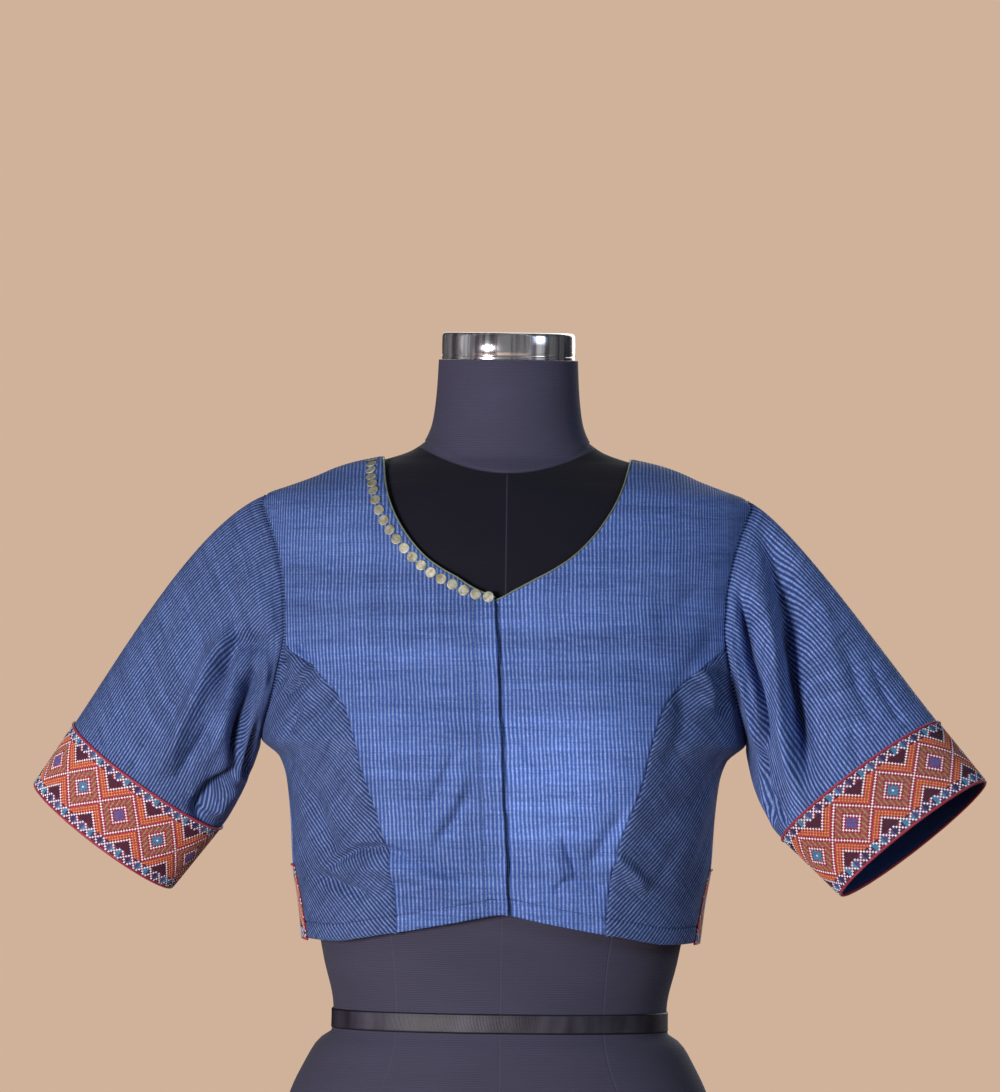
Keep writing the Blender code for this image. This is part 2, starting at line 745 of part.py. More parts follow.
def sleeve_ring_point(side, name, turn):
    """Point of a sleeve ring: an oval between its outer and inner corners, square to the sleeve."""
    rings = SLEEVES[side]
    ring = rings[name]
    outer = Vector((side * ring["outer"][0], 0.0, ring["outer"][1]))
    inner = Vector((side * ring["inner"][0], 0.0, ring["inner"][1]))
    up_way = (outer - inner) * 0.5
    axis = ring_middle(side, rings["cuff"]) - ring_middle(side, rings["band_top"])
    front_way = up_way.cross(axis).normalized() * -side
    rise = math.sin(math.radians(turn))
    forward = math.cos(math.radians(turn))
    return ring_middle(side, ring) + up_way * rise + front_way * (ring["half_depth"] * forward)


def sleeve_point(side, turn, way):
    """Point of a sleeve's outer face. Way is 0 at the armhole, 1 at the top of the band and 2 at
    the cuff."""
    rings = SLEEVES[side]
    band_top = sleeve_ring_point(side, "band_top", turn)
    cuff = sleeve_ring_point(side, "cuff", turn)
    if way > 1.0:
        return band_top.lerp(cuff, way - 1.0)
    angle, height = armhole_place(turn)
    start = cloth_spot(side * angle, height).at
    rise = math.sin(math.radians(turn))
    head = math.sqrt(0.5 * (1.0 + rise))
    aim = Vector((side * SLEEVE_HEAD_SLOPE[0] * head, 0.0, SLEEVE_HEAD_SLOPE[1] * head - (1.0 - head)))
    aim.y = -SLEEVE_START_SWING * math.cos(math.radians(turn))
    aim.normalize()
    span = (band_top - start).length
    under_reach = rings["under_reach"]
    reach = under_reach + (rings["head_reach"] - under_reach) * 0.5 * (1.0 + rise)
    first = aim * (span * reach)
    last = (cuff - band_top).normalized() * (span * SLEEVE_END_REACH)
    s = way
    spot = start * ((1 + 2 * s) * (1 - s) ** 2) + first * (s * (1 - s) ** 2)
    spot += band_top * (s * s * (3 - 2 * s)) - last * (s * s * (1 - s))
    return spot


def sleeve_spot(side, turn, way, out=0.0):
    """Spot of a sleeve with its folds, moved out along the direction square to the sleeve."""
    plain = sleeve_point(side, turn, way)
    round_step = sleeve_point(side, turn + 2.0, way) - sleeve_point(side, turn - 2.0, way)
    low = max(way - 0.02, 0.0)
    along_step = sleeve_point(side, turn, low + 0.04) - sleeve_point(side, turn, low)
    outward = round_step.cross(along_step).normalized() * -side
    if way < 1.0:
        scale = (math.radians(SLEEVE_FOLD_ROUND), SLEEVE_FOLD_LONG)
        for seen_turn in (turn, turn - 360.0):
            out -= fold_depth(SLEEVE_FOLDS, side, seen_turn, way, scale)
    return Spot(plain + outward * out, outward)


def make_sleeve(side, collection, cloth, band, piping):
    """A sleeve, its cuff band and the band's two pipings."""
    label = "right" if side == WEARERS_RIGHT else "left"

    def ring(way, out=0.0):
        return [sleeve_spot(side, turn, way, out) for turn in SLEEVE_TURNS]

    def eased(spots, towards, by):
        return [Spot(a.at + step_towards(a, b, by), a.outward) for a, b in zip(spots, towards)]

    sleeve = [ring(share) for share in even_shares(SLEEVE_ROWS)]
    sleeve[-1] = eased(sleeve[-1], sleeve[-2], 0.7 * SEAM_GAP)
    sleeve[0] = eased(sleeve[0], sleeve[1], SEAM_GAP)
    clear = Vector((side * SEAM_GAP, 0.0, 0.0))
    sleeve[0] = [Spot(spot.at + clear, spot.outward) for spot in sleeve[0]]
    cuff = [ring(1.0), ring(1.5), ring(2.0)]
    cuff[0] = eased(cuff[0], cuff[1], 0.7 * SEAM_GAP)
    beyond = -(PIPING_RADIUS + SEAM_GAP)
    top_piping = [spot.moved_out(PIPING_RADIUS + SEAM_GAP) for spot in ring(1.0)]
    cuff_edge = eased(ring(2.0), ring(1.5), beyond)
    cuff_piping = [spot.moved_out(-0.5 * BAND_WALL) for spot in cuff_edge]
    if side == WEARERS_LEFT:
        sleeve = flipped(sleeve)
        cuff = flipped(cuff)
    cloth_wall("sleeve_" + label, [sleeve], collection, cloth, CLOTH_WALL, closed=True)
    cloth_wall("sleeve_band_" + label, [cuff], collection, band, BAND_WALL, closed=True)
    tube("sleeve_piping_top_" + label, top_piping, PIPING_RADIUS, collection, piping, cyclic=True)
    tube("sleeve_piping_cuff_" + label, cuff_piping, PIPING_RADIUS, collection, piping, cyclic=True)


def make_neck_pipings(collection, material):
    """The piping round the neck: a length on each front and one on the back."""
    beyond = NECK_PIPING_RADIUS + SEAM_GAP
    edges = {
        "neck_piping_right": places_on_front(NECK_EDGE_RIGHT, NECK_SHARES),
        "neck_piping_left": places_on_front(NECK_EDGE_LEFT, NECK_SHARES)[2:],
    }
    half = [(180.0 - angle, z) for angle, z in places_on_front(NECK_EDGE_BACK, NECK_SHARES)]
    edges["neck_piping_back"] = [(-angle, z) for angle, z in reversed(half[1:])] + half
    for name, places in edges.items():
        over = name == "neck_piping_right"
        spots = [cloth_spot(angle, z, -0.5 * CLOTH_WALL, over) for angle, z in places]
        points = []
        for i, spot in enumerate(spots):
            run = spots[min(i + 1, len(spots) - 1)].at - spots[max(i - 1, 0)].at
            into_neck = run.cross(spot.outward).normalized()
            if into_neck.dot(NECK_OPENING_MIDDLE - spot.at) < 0.0:
                into_neck = -into_neck
            points.append(spot.at + into_neck * beyond)
        for end, inner in ((0, 1), (-1, -2)):
            points[end] = points[end] + (points[inner] - points[end]).normalized() * SEAM_GAP
        tube(name, points, NECK_PIPING_RADIUS, collection, material)


def make_discs(collection, material):
    """The row of discs as one scalloped strip on the right front, from the V to the shoulder."""
    stations = DISC_COUNT * DISC_STATIONS_EACH
    edge = points_along(NECK_EDGE_RIGHT, even_shares(stations))
    rows = []
    for i, spot in enumerate(edge):
        way = i / stations
        run = (edge[min(i + 1, stations)] - edge[max(i - 1, 0)]).normalized()
        away = Vector((-run.y, run.x))
        if away.x > 0.0:
            away = -away
        middle = spot + away * (disc_row.read("from_edge", way) - 1.0)
        part = (i % DISC_STATIONS_EACH) / DISC_STATIONS_EACH * 2.0 - 1.0
        half = DISC_RADIUS * max(math.sqrt(max(1.0 - part * part, 0.0)), DISC_STRIP_NECK)
        if i == stations:
            half = DISC_RADIUS * DISC_STRIP_NECK
        line = []
        for share in (-1.0, 1.0):
            x, z = middle + away * (half * share)
            z = min(z, DISC_TOP_HEIGHT)
            line.append(cloth_spot(angle_at(cloth_torso, x, z), z, DISC_OUT, True))
        rows.append(line)
    return cloth_wall("neck_discs", [flipped(rows)], collection, material, DISC_WALL)


def form_ring(height, out=0.0):
    """One ring of the form; near the neck's top it slopes down to the front."""
    ring = []
    slope = NECK_TOP_SLOPE * smooth_step(NECK_TOP_SLOPE_FROM, FORM_TORSO[-1][0], height)
    for i in range(FORM_COLUMNS):
        angle = 360.0 * (i + 0.5) / FORM_COLUMNS - 180.0
        spot = torso_surface(form_torso, angle, height)
        spot += torso_outward(form_torso, angle, height) * out if out else Vector()
        ring.append(spot + Vector((0.0, 0.0, slope * spot.y)))
    return ring


def make_form(collection, cover, tape, chrome):
    """The dress form: its padded body, the satin tape round its waist and the cap on its neck."""
    heights = []
    for low, high in zip(FORM_TORSO[1:], FORM_TORSO[2:]):
        steps = max(1, round((high[0] - low[0]) / FORM_RING_STEP))
        heights += [low[0] + (high[0] - low[0]) * i / steps for i in range(steps)]
    heights.append(FORM_TORSO[-1][0])
    closed_loft("form_body", [form_ring(height) for height in heights], collection, cover)

    low, high = TAPE_HEIGHTS
    inner = SEAM_GAP + 0.1
    outer = inner + TAPE_WALL
    rings = []
    for height, out in ((low, inner), (low, outer), (high, outer), (high, inner)):
        rings.append([Vector((p.x, p.y, height)) for p in form_ring(height, out)])
    closed_loft("form_waist_tape", rings, collection, tape, capped=False)

    top = form_ring(FORM_TORSO[-1][0])
    middle = sum(top, Vector()) / len(top)
    rings = []
    for rise, scale in cap_profile:
        lift = Vector((0.0, 0.0, CAP_GAP + CAP_HEIGHT * rise))
        rings.append([middle + (point - middle) * scale + lift for point in top])
    closed_loft("form_neck_cap", rings, collection, chrome)


def build():
    for old in list(bpy.data.objects):
        bpy.data.objects.remove(old)
    collection = bpy.data.collections.new("sari_blouse_on_form")
    bpy.context.scene.collection.children.link(collection)

    cloth = new_material("blue_stripe_cloth", (0.078, 0.130, 0.330), 0.70)
    band = new_material("patterned_band", (0.450, 0.130, 0.070), 0.80)
    piping = new_material("red_piping", (0.250, 0.018, 0.030), 0.60)
    gold = new_material("olive_gold_piping", (0.240, 0.210, 0.080), 0.50)
    discs = new_material("pale_gold_disc", (0.500, 0.450, 0.240), 0.45, 0.4)
    cover = new_material("form_cover", (0.040, 0.037, 0.060), 0.75)
    satin = new_material("waist_satin", (0.035, 0.028, 0.042), 0.30)
    chrome = new_material("neck_chrome", (0.800, 0.800, 0.820), 0.15, 1.0)

    for side in (WEARERS_RIGHT, WEARERS_LEFT):
        make_front(side, collection, cloth)
        make_side_front(side, collection, cloth)
        make_sleeve(side, collection, cloth, band, piping)
    make_back(collection, cloth, band, piping)
    make_neck_pipings(collection, gold)
    make_discs(collection, discs)
    make_form(collection, cover, satin, chrome)


build()
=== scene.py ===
"""Looks of the sari blouse and of the limbless dress form that it is worn on.

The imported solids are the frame. Every piece of cloth is made again on its solid's form, as a thin
shell with its weave, its creases and its sewing. Sizes are in millimetres and angles in degrees
until a mesh is made. Left and right are the wearer's, and the front faces -Y.
"""

import math
from functools import partial

import bpy
import numpy as np
from mathutils import Matrix, Vector


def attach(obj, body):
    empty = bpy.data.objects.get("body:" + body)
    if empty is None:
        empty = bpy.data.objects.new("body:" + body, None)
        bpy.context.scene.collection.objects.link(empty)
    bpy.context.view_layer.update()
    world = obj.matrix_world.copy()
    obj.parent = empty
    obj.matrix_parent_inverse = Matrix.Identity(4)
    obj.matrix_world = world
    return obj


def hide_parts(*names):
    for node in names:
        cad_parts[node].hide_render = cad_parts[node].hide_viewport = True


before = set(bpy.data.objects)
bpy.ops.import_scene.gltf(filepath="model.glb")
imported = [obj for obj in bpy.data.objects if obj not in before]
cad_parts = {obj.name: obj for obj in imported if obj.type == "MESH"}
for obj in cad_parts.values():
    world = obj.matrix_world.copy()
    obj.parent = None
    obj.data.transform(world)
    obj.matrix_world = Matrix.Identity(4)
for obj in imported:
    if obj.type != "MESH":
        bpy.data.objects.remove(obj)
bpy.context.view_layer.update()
scene = bpy.context.scene

# Studio
# A long lens stands five metres off at bust height and looks a little up at the blouse, as for a
# catalogue picture. The room is pale warm paper. A soft box lights it from the wearer's right, a
# weaker one from their left and one from behind, and chrome mirrors the dark flags between them.
CAMERA_AT = Vector((0.0, -5.0, 0.45))
CAMERA_AIM = Vector((-0.0047, 0.0, 0.6183))
CAMERA_LEAN = 0.75
PICTURE_HEIGHT = 1092
FOCAL_PIXELS = 6414
SENSOR = 36.0
PAPER = (0.631, 0.445, 0.323)
ROOM_LIGHT = 0.11
ROOM_COLOUR = (0.93, 0.97, 1.0)
FLAGS = 3.0
SOFT_BOXES = (
    ("name", "at", "size", "watts", "colour"),
    ("key", (-1.25, -2.00, 0.42), 0.6, 52.0, (1.0, 0.99, 1.0)),
    ("fill", (1.9, -1.6, 1.6), 1.0, 14.5, (0.60, 0.82, 1.0)),
    ("behind", (0.9, 2.9, 1.6), 2.4, 34.0, (1.0, 1.0, 1.0)),
)
LIT_PLACE = Vector((0.0, 0.0, 0.5))
FLOOR_RADIUS = 1.6
MM = 0.001

camera_data = bpy.data.cameras.new("camera")
camera_data.sensor_fit = "VERTICAL"
camera_data.sensor_height = SENSOR
camera_data.lens = SENSOR * FOCAL_PIXELS / PICTURE_HEIGHT
camera = bpy.data.objects.new("camera", camera_data)
scene.collection.objects.link(camera)
sight = (CAMERA_AIM - CAMERA_AT).to_track_quat("-Z", "Y").to_matrix().to_4x4()
lean = Matrix.Rotation(math.radians(CAMERA_LEAN), 4, "Z")
camera.matrix_world = Matrix.Translation(CAMERA_AT) @ sight @ lean
scene.camera = camera
scene.view_settings.view_transform = "Standard"

for label, at, size, watts, colour in SOFT_BOXES[1:]:
    light = bpy.data.lights.new(label, "AREA")
    light.shape = "SQUARE"
    light.size = size
    light.energy = watts
    light.color = colour
    box = bpy.data.objects.new(label, light)
    scene.collection.objects.link(box)
    towards = (LIT_PLACE - Vector(at)).to_track_quat("-Z", "Y").to_matrix().to_4x4()
    box.matrix_world = Matrix.Translation(Vector(at)) @ towards


class Value:
    """A socket of a node tree, on which Python's operators add Math nodes."""

    def __init__(self, tree, socket):
        self.tree = tree
        self.socket = socket

    def maths(self, operation, *values):
        return node(self.tree, "ShaderNodeMath", {"operation": operation}, values)

    def __add__(self, other):
        return self.maths("ADD", self, other)

    def __radd__(self, other):
        return self.maths("ADD", other, self)

    def __sub__(self, other):
        return self.maths("SUBTRACT", self, other)

    def __rsub__(self, other):
        return self.maths("SUBTRACT", other, self)

    def __mul__(self, other):
        return self.maths("MULTIPLY", self, other)

    def __rmul__(self, other):
        return self.maths("MULTIPLY", other, self)

    def sine(self):
        return self.maths("SINE", self)

    def size(self):
        return self.maths("ABSOLUTE", self)

    def between(self, low, high):
        """0 where the value is at low, 1 where it is at high, and smooth between them."""
        return node(
            self.tree, "ShaderNodeMapRange", {"interpolation_type": "SMOOTHSTEP"},
            {0: self, 1: low, 2: high, 3: 0.0, 4: 1.0},
        )

    def below(self, limit):
        return self.maths("LESS_THAN", self, limit)

    def at_least(self, limit):
        return self.maths("MAXIMUM", self, limit)


def node(tree, kind, settings=None, sockets=(), out=0):
    """Adds a node, sets its settings and then its sockets, and returns one of its outputs."""
    made = tree.nodes.new(kind)
    for name, value in (settings or {}).items():
        setattr(made, name, value)
    pairs = sockets.items() if isinstance(sockets, dict) else enumerate(sockets)
    for name, value in pairs:
        if isinstance(value, Value):
            tree.links.new(value.socket, made.inputs[name])
        else:
            made.inputs[name].default_value = value
    return Value(tree, made.outputs[out])


def mixed(share, first, second):
    """A colour between two, by a share from 0 to 1."""
    tree = share.tree
    made = tree.nodes.new("ShaderNodeMix")
    made.data_type = "RGBA"
    for place, value in ((0, share), (6, first), (7, second)):
        if isinstance(value, Value):
            tree.links.new(value.socket, made.inputs[place])
        else:
            made.inputs[place].default_value = (*value, 1.0)
    return Value(tree, made.outputs[2])


def dimmed(colour, by):
    """A colour multiplied by a number."""
    return node(by.tree, "ShaderNodeVectorMath", {"operation": "SCALE"}, {0: colour, "Scale": by})


def noise(tree, vector, scale, detail=2.0, roughness=0.5):
    return node(
        tree, "ShaderNodeTexNoise", None,
        {"Vector": vector, "Scale": scale, "Detail": detail, "Roughness": roughness},
    )


def wave(value, pitch, shift=None):
    """A sine that repeats every so many metres. A shift in radians pushes it along."""
    turn = value * (2.0 * math.pi / pitch)
    return (turn if shift is None else turn + shift).sine()


def stretched(vector, across, along, up=1.0, turn=0.0):
    """Coordinates multiplied on each axis, after a turn about the third."""
    turned = (0.0, 0.0, math.radians(turn))
    return node(
        vector.tree, "ShaderNodeMapping", None,
        {"Vector": vector, "Scale": (across, along, up), "Rotation": turned},
    )


def parts_of(vector):
    """The three numbers of a vector."""
    made = node(vector.tree, "ShaderNodeSeparateXYZ", None, (vector,))
    outputs = made.socket.node.outputs
    return [Value(vector.tree, outputs[i]) for i in range(3)]


def places_in(finish):
    """A finish's node tree, and the places of the object's points in space."""
    tree = finish.node_tree
    return tree, node(tree, "ShaderNodeTexCoord", out=3)


def cloth_places_in(finish):
    """A finish's node tree, and the places on its cloth: as a vector, across and along."""
    tree = finish.node_tree
    chart = node(tree, "ShaderNodeUVMap", {"uv_map": "cloth"})
    across, along, _ = parts_of(chart)
    return tree, chart, across, along


def new_finish(name, roughness, metallic=0.0, specular=0.5, sheen=0.0, sheen_roughness=0.4, tint=(1, 1, 1)):
    """A material with one Principled shader, whose fixed numbers are set on its own sockets."""
    material = bpy.data.materials.new(name)
    material.use_nodes = True
    shader = material.node_tree.nodes["Principled BSDF"]
    shader.inputs["Roughness"].default_value = roughness
    shader.inputs["Metallic"].default_value = metallic
    shader.inputs["Specular IOR Level"].default_value = specular
    shader.inputs["Sheen Weight"].default_value = sheen
    shader.inputs["Sheen Roughness"].default_value = sheen_roughness
    shader.inputs["Sheen Tint"].default_value = (*tint, 1.0)
    return material


def feed(material, name, value):
    shader = material.node_tree.nodes["Principled BSDF"]
    material.node_tree.links.new(value.socket, shader.inputs[name])


def relief(material, height, depth, strength):
    """Raises the surface by a height from 0 to 1, times a depth in millimetres."""
    tree = material.node_tree
    sockets = {"Height": height, "Distance": depth * MM, "Strength": strength}
    feed(material, "Normal", node(tree, "ShaderNodeBump", None, sockets))


world = bpy.data.worlds.new("room")
world.use_nodes = True
scene.world = world
room = world.node_tree
room.nodes.clear()
east, north, _ = parts_of(node(room, "ShaderNodeTexCoord", out=0))
around = east.maths("ARCTAN2", east, north)
flags = (around * FLAGS + 0.9).sine().between(0.62, 0.84)
brightness = (0.24 + flags * 3.2) * ROOM_LIGHT
glow = node(room, "ShaderNodeBackground", None, {0: (*ROOM_COLOUR, 1.0), 1: brightness})
paper = node(room, "ShaderNodeBackground", None, {0: (*PAPER, 1.0), 1: 1.0})
seen = node(room, "ShaderNodeLightPath", out=0)
shown = node(room, "ShaderNodeMixShader", None, (seen, glow, paper))
room_output = room.nodes.new("ShaderNodeOutputWorld")
room.links.new(shown.socket, room_output.inputs["Surface"])

floor_finish = new_finish("paper_floor", roughness=0.9, specular=0.1)
tree, place = places_in(floor_finish)
grain = noise(tree, place, 90.0)
feed(floor_finish, "Base Color", mixed(grain * 0.15, PAPER, (0.66, 0.48, 0.36)))
bpy.ops.mesh.primitive_circle_add(vertices=96, radius=FLOOR_RADIUS, fill_type="NGON")
floor = bpy.context.active_object
floor.name = "floor"
floor.data.materials.append(floor_finish)

# Dress form
# A padded torso of moulded foam under a fine ribbed black jersey, cut off at the hips and at the
# top of the neck. The jersey is seamed down the front, over each bust and round the neck's root,
# where the neck piece stands a little proud.
FORM_TORSO = (
    ("height", "half_width", "front", "back", "roundness"),
    (0.0, 171.0, 112.0, 122.0, 2.30),
    (60.0, 175.0, 115.0, 127.0, 2.30),
    (110.0, 176.5, 117.0, 128.5, 2.30),
    (155.0, 172.5, 115.0, 125.5, 2.30),
    (192.0, 162.5, 111.0, 118.5, 2.28),
    (217.5, 150.5, 106.5, 108.0, 2.25),
    (233.0, 141.0, 102.5, 100.0, 2.22),
    (242.0, 129.8, 98.0, 92.0, 2.20),
    (258.0, 129.6, 97.5, 91.0, 2.20),
    (296.0, 137.5, 98.5, 89.0, 2.22),
    (340.0, 146.0, 101.0, 90.0, 2.28),
    (372.0, 152.0, 103.0, 91.5, 2.32),
    (405.0, 156.5, 106.0, 94.0, 2.38),
    (452.0, 163.0, 110.0, 97.5, 2.42),
    (500.0, 167.5, 108.5, 100.5, 2.30),
    (546.0, 169.0, 105.0, 102.5, 2.20),
    (577.0, 171.5, 101.5, 102.0, 2.10),
    (608.0, 176.0, 95.5, 99.0, 2.00),
    (636.0, 180.0, 86.5, 93.5, 1.82),
    (652.0, 183.0, 79.5, 87.5, 1.67),
    (661.2, 165.0, 75.5, 84.0, 1.58),
    (667.2, 149.0, 71.5, 80.5, 1.54),
    (674.7, 132.0, 65.5, 75.0, 1.53),
    (679.7, 117.0, 61.0, 71.5, 1.54),
    (684.8, 95.0, 57.0, 68.5, 1.64),
    (692.5, 73.5, 54.5, 66.0, 1.85),
    (701.5, 62.5, 53.5, 64.5, 2.00),
    (717.0, 57.2, 52.0, 62.0, 2.05),
    (740.0, 54.6, 50.5, 60.0, 2.05),
    (763.4, 53.4, 49.5, 59.5, 2.05),
)
NECK_TOP_SLOPE = 0.06
NECK_TOP_SLOPE_FROM = 717.0
BUST_HEIGHT = 452.0
BUST_FROM_CENTRE = 84.0
BUST_SPREAD_ACROSS = 46.0
FORM_BUST = (15.5, 50.0)
FORM_COLUMNS = 160
FORM_ROW = 5.0
NECK_SEAM_HEIGHT = 671.7
NECK_SEAM_CURVE = 0.0046
NECK_SEAM_CURVE_AT_SHOULDERS = 5.0e-7
NECK_SEAM_ROWS = (664.0, 704.0)
NECK_PIECE_STANDS = 0.9
RIB_PITCH = 1.7


def smooth_step(start, end, value):
    s = np.clip((value - start) / (end - start), 0.0, 1.0)
    return s * s * (3.0 - 2.0 * s)


def unit(vectors):
    return vectors / np.linalg.norm(vectors, axis=-1, keepdims=True)


def reach_along(points, axis):
    """How far each point of a grid lies along its line, from the line's first point."""
    steps = np.linalg.norm(np.diff(points, axis=axis), axis=-1)
    first = np.zeros_like(np.take(steps, [0], axis=axis))
    return np.concatenate([first, np.cumsum(steps, axis=axis)], axis=axis)


class SmoothTable:
    """Named columns read against the first one, by a smooth curve that never overshoots a row."""

    def __init__(self, table):
        rows = np.array(table[1:], dtype=float)
        self.at = rows[:, 0]
        self.columns = {}
        for place, name in enumerate(table[0][1:], start=1):
            values = rows[:, place]
            rise = np.diff(values) / np.diff(self.at)
            alike = rise[:-1] * rise[1:]
            total = rise[:-1] + rise[1:]
            inner = np.where(alike > 0.0, 2.0 * alike / np.where(total == 0.0, 1.0, total), 0.0)
            self.columns[name] = (values, np.concatenate([rise[:1], inner, rise[-1:]]))

    def read(self, name, at):
        values, slopes = self.columns[name]
        at = np.clip(at, self.at[0], self.at[-1])
        row = np.clip(np.searchsorted(self.at, at, side="right") - 1, 0, len(self.at) - 2)
        width = self.at[row + 1] - self.at[row]
        s = (at - self.at[row]) / width
        start = (1 + 2 * s) * (1 - s) ** 2 * values[row] + s * (1 - s) ** 2 * width * slopes[row]
        end = s * s * (3 - 2 * s) * values[row + 1] - s * s * (1 - s) * width * slopes[row + 1]
        return start + end


class Torso(SmoothTable):
    """A torso's ovals by height, with the bust that stands forward of them."""

    def __init__(self, table, bust):
        super().__init__(table)
        self.bust_rise, self.bust_spread_up = bust

    def point(self, angle, height):
        """Angle runs from 0 at centre front, through 90 at the wearer's left side line, to 180 at
        centre back. The right side has negative angles."""
        turn = np.radians(angle)
        power = 2.0 / self.read("roundness", height)
        round_way = np.sin(turn)
        across = self.read("half_width", height) * np.sign(round_way) * np.abs(round_way) ** power
        forward = np.cos(turn)
        depth = np.abs(forward) ** power
        front = -self.read("front", height) * depth - self.bust(across, height)
        y = np.where(forward >= 0.0, front, self.read("back", height) * depth)
        return np.stack([across, y, height + 0.0 * across], axis=-1)

    def bust(self, across, height):
        sides = 0.0
        for side in (-1, 1):
            sides = sides + np.exp(-0.5 * ((across - side * BUST_FROM_CENTRE) / BUST_SPREAD_ACROSS) ** 2)
        up = (height - BUST_HEIGHT) / self.bust_spread_up
        fade = np.maximum(0.0, 1.0 - (np.abs(across) / self.read("half_width", height)) ** 4)
        return self.bust_rise * sides * np.exp(-0.5 * up * up) * fade

    def outward(self, angle, height):
        round_step = self.point(angle + 1.0, height) - self.point(angle - 1.0, height)
        up_step = self.point(angle, height + 1.0) - self.point(angle, height - 1.0)
        return unit(np.cross(round_step, up_step))


def woven_mesh(name, points, uv=None, closed=False, capped=False, opening=None):
    """A smooth mesh over a grid of points, with the cloth's own lengthwise and crosswise places
    as its UV map. A closed grid's last column meets its first. An opening is a row and a column:
    that column's faces are left out from the row up."""
    rows, columns = points.shape[:2]
    span = columns if closed else columns - 1
    i, j = np.meshgrid(np.arange(rows - 1), np.arange(span), indexing="ij")
    if opening:
        kept = (i < opening[0]) | (j != opening[1])
        i, j = i[kept], j[kept]
    k = (j + 1) % columns
    low, high = i * columns, (i + 1) * columns
    faces = np.stack([low + j, low + k, high + k, high + j], axis=-1).reshape(-1, 4).tolist()
    if capped:
        faces.append(list(range(columns))[::-1])
        faces.append(list(range((rows - 1) * columns, rows * columns)))
    mesh = bpy.data.meshes.new(name)
    mesh.from_pydata((points.reshape(-1, 3) * MM).tolist(), [], faces)
    if uv is not None:
        at = np.stack([uv[i, j], uv[i, j + 1], uv[i + 1, j + 1], uv[i + 1, j]], axis=-2).reshape(-1, 2)
        at = np.vstack([at, np.zeros((len(mesh.loops) - len(at), 2))])
        layer = mesh.uv_layers.new(name="cloth")
        layer.uv.foreach_set("vector", (at * MM).astype(np.float32).ravel())
    mesh.shade_smooth()
    made = bpy.data.objects.new(name, mesh)
    scene.collection.objects.link(made)
    return made


def come_round(grid):
    """A closed grid with its first column once more at the end."""
    return np.concatenate([grid, grid[:, :1]], axis=1)


def with_wall(piece, wall, inner_slot=0):
    """Gives a shell its thickness on the inside."""
    solid = piece.modifiers.new("wall", "SOLIDIFY")
    solid.thickness = wall * MM
    solid.offset = -1.0
    solid.material_offset = inner_slot
    return piece


def ring_of_form(heights):
    """Rings of points round the form, one for each height, and their outward directions."""
    angles = 360.0 * (np.arange(FORM_COLUMNS) + 0.5) / FORM_COLUMNS - 180.0
    angle, height = np.meshgrid(angles, heights)
    return form_torso.point(angle, height), form_torso.outward(angle, height)


def neck_seam(across):
    """Height of the seam at the neck's root."""
    return NECK_SEAM_HEIGHT + NECK_SEAM_CURVE * across**2 + NECK_SEAM_CURVE_AT_SHOULDERS * across**4


def sloped(points):
    """The neck's top slopes down to the front."""
    slope = NECK_TOP_SLOPE * smooth_step(NECK_TOP_SLOPE_FROM, FORM_TORSO[-1][0], points[..., 2])
    lifted = points.copy()
    lifted[..., 2] += slope * points[..., 1]
    return lifted


form_torso = Torso(FORM_TORSO, FORM_BUST)
top_height = FORM_TORSO[-1][0]
seam_rows_from, seam_rows_to = NECK_SEAM_ROWS
form_heights = np.concatenate([
    np.arange(0.0, seam_rows_from, FORM_ROW), np.arange(seam_rows_from, seam_rows_to, 1.0),
    np.arange(seam_rows_to, top_height, 3.0), [top_height],
])
points, outward = ring_of_form(form_heights)
over_seam = points[..., 2] - neck_seam(points[..., 0])
stands = NECK_PIECE_STANDS * smooth_step(0.0, 1.6, over_seam)
stands -= 0.5 * np.exp(-((over_seam / 1.1) ** 2))
points = sloped(points + outward * stands[..., None])
form_cover = woven_mesh("form_cover", points, closed=True, capped=True)
form_cover.data.set_sharp_from_angle(angle=math.radians(60.0))

# In the finish, places are in metres: the seams over the bust are narrowest apart at the waist
FORM_WAIST = 0.25
jersey = new_finish("form_cover", roughness=0.78, specular=0.14, sheen=0.06, sheen_roughness=0.5)
tree, place = places_in(jersey)
x, _, z = parts_of(place)
ribs = wave(z, RIB_PITCH * MM, noise(tree, place, 60.0) * 3.0) * 0.5 + 0.5
down = (FORM_WAIST - z).at_least(0.0)
up = (z - FORM_WAIST).at_least(0.0)
princess = 0.079 + down * down * 4.5 + up * up * 1.2
seam_side = (x.size() - princess).size().between(0.0009, 0.0002) * z.below(BUST_HEIGHT * MM)
seam_middle = x.size().between(0.0008, 0.0002) * z.below(NECK_SEAM_HEIGHT * MM)
seams = seam_side + seam_middle
from_root = z - (NECK_SEAM_HEIGHT * MM + x * x * (NECK_SEAM_CURVE / MM))
neck_part = from_root.between(-0.0004, 0.0006)
neck_line = from_root.size().between(0.0014, 0.0004)
# Painted shade: the cover from below the bust up to the neck's root, seen inside the blouse's neckline, is
# made far darker than the waist and the neck, for the blouse's shade on it.
chest_painted_shade = (1.0 - neck_part) * z.between(0.36, 0.40)
patchy = noise(tree, stretched(place, 14.0, 14.0, 40.0), 1.0, 3.0)
colour = mixed(chest_painted_shade, (0.050, 0.046, 0.078), (0.0075, 0.0066, 0.0130))
colour = mixed(neck_part, colour, (0.056, 0.050, 0.088))
colour = dimmed(colour, 0.74 + ribs * 0.30 + patchy * 0.24)
colour = mixed(seams * 0.35, colour, (0.075, 0.070, 0.100))
feed(jersey, "Base Color", mixed(neck_line * 0.75, colour, (0.006, 0.005, 0.009)))
relief(jersey, ribs * 0.5 + seams * -1.2 + patchy * 0.4, 0.25, 0.7)
form_cover.data.materials.append(jersey)
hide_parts("form_body")
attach(form_cover, "root")

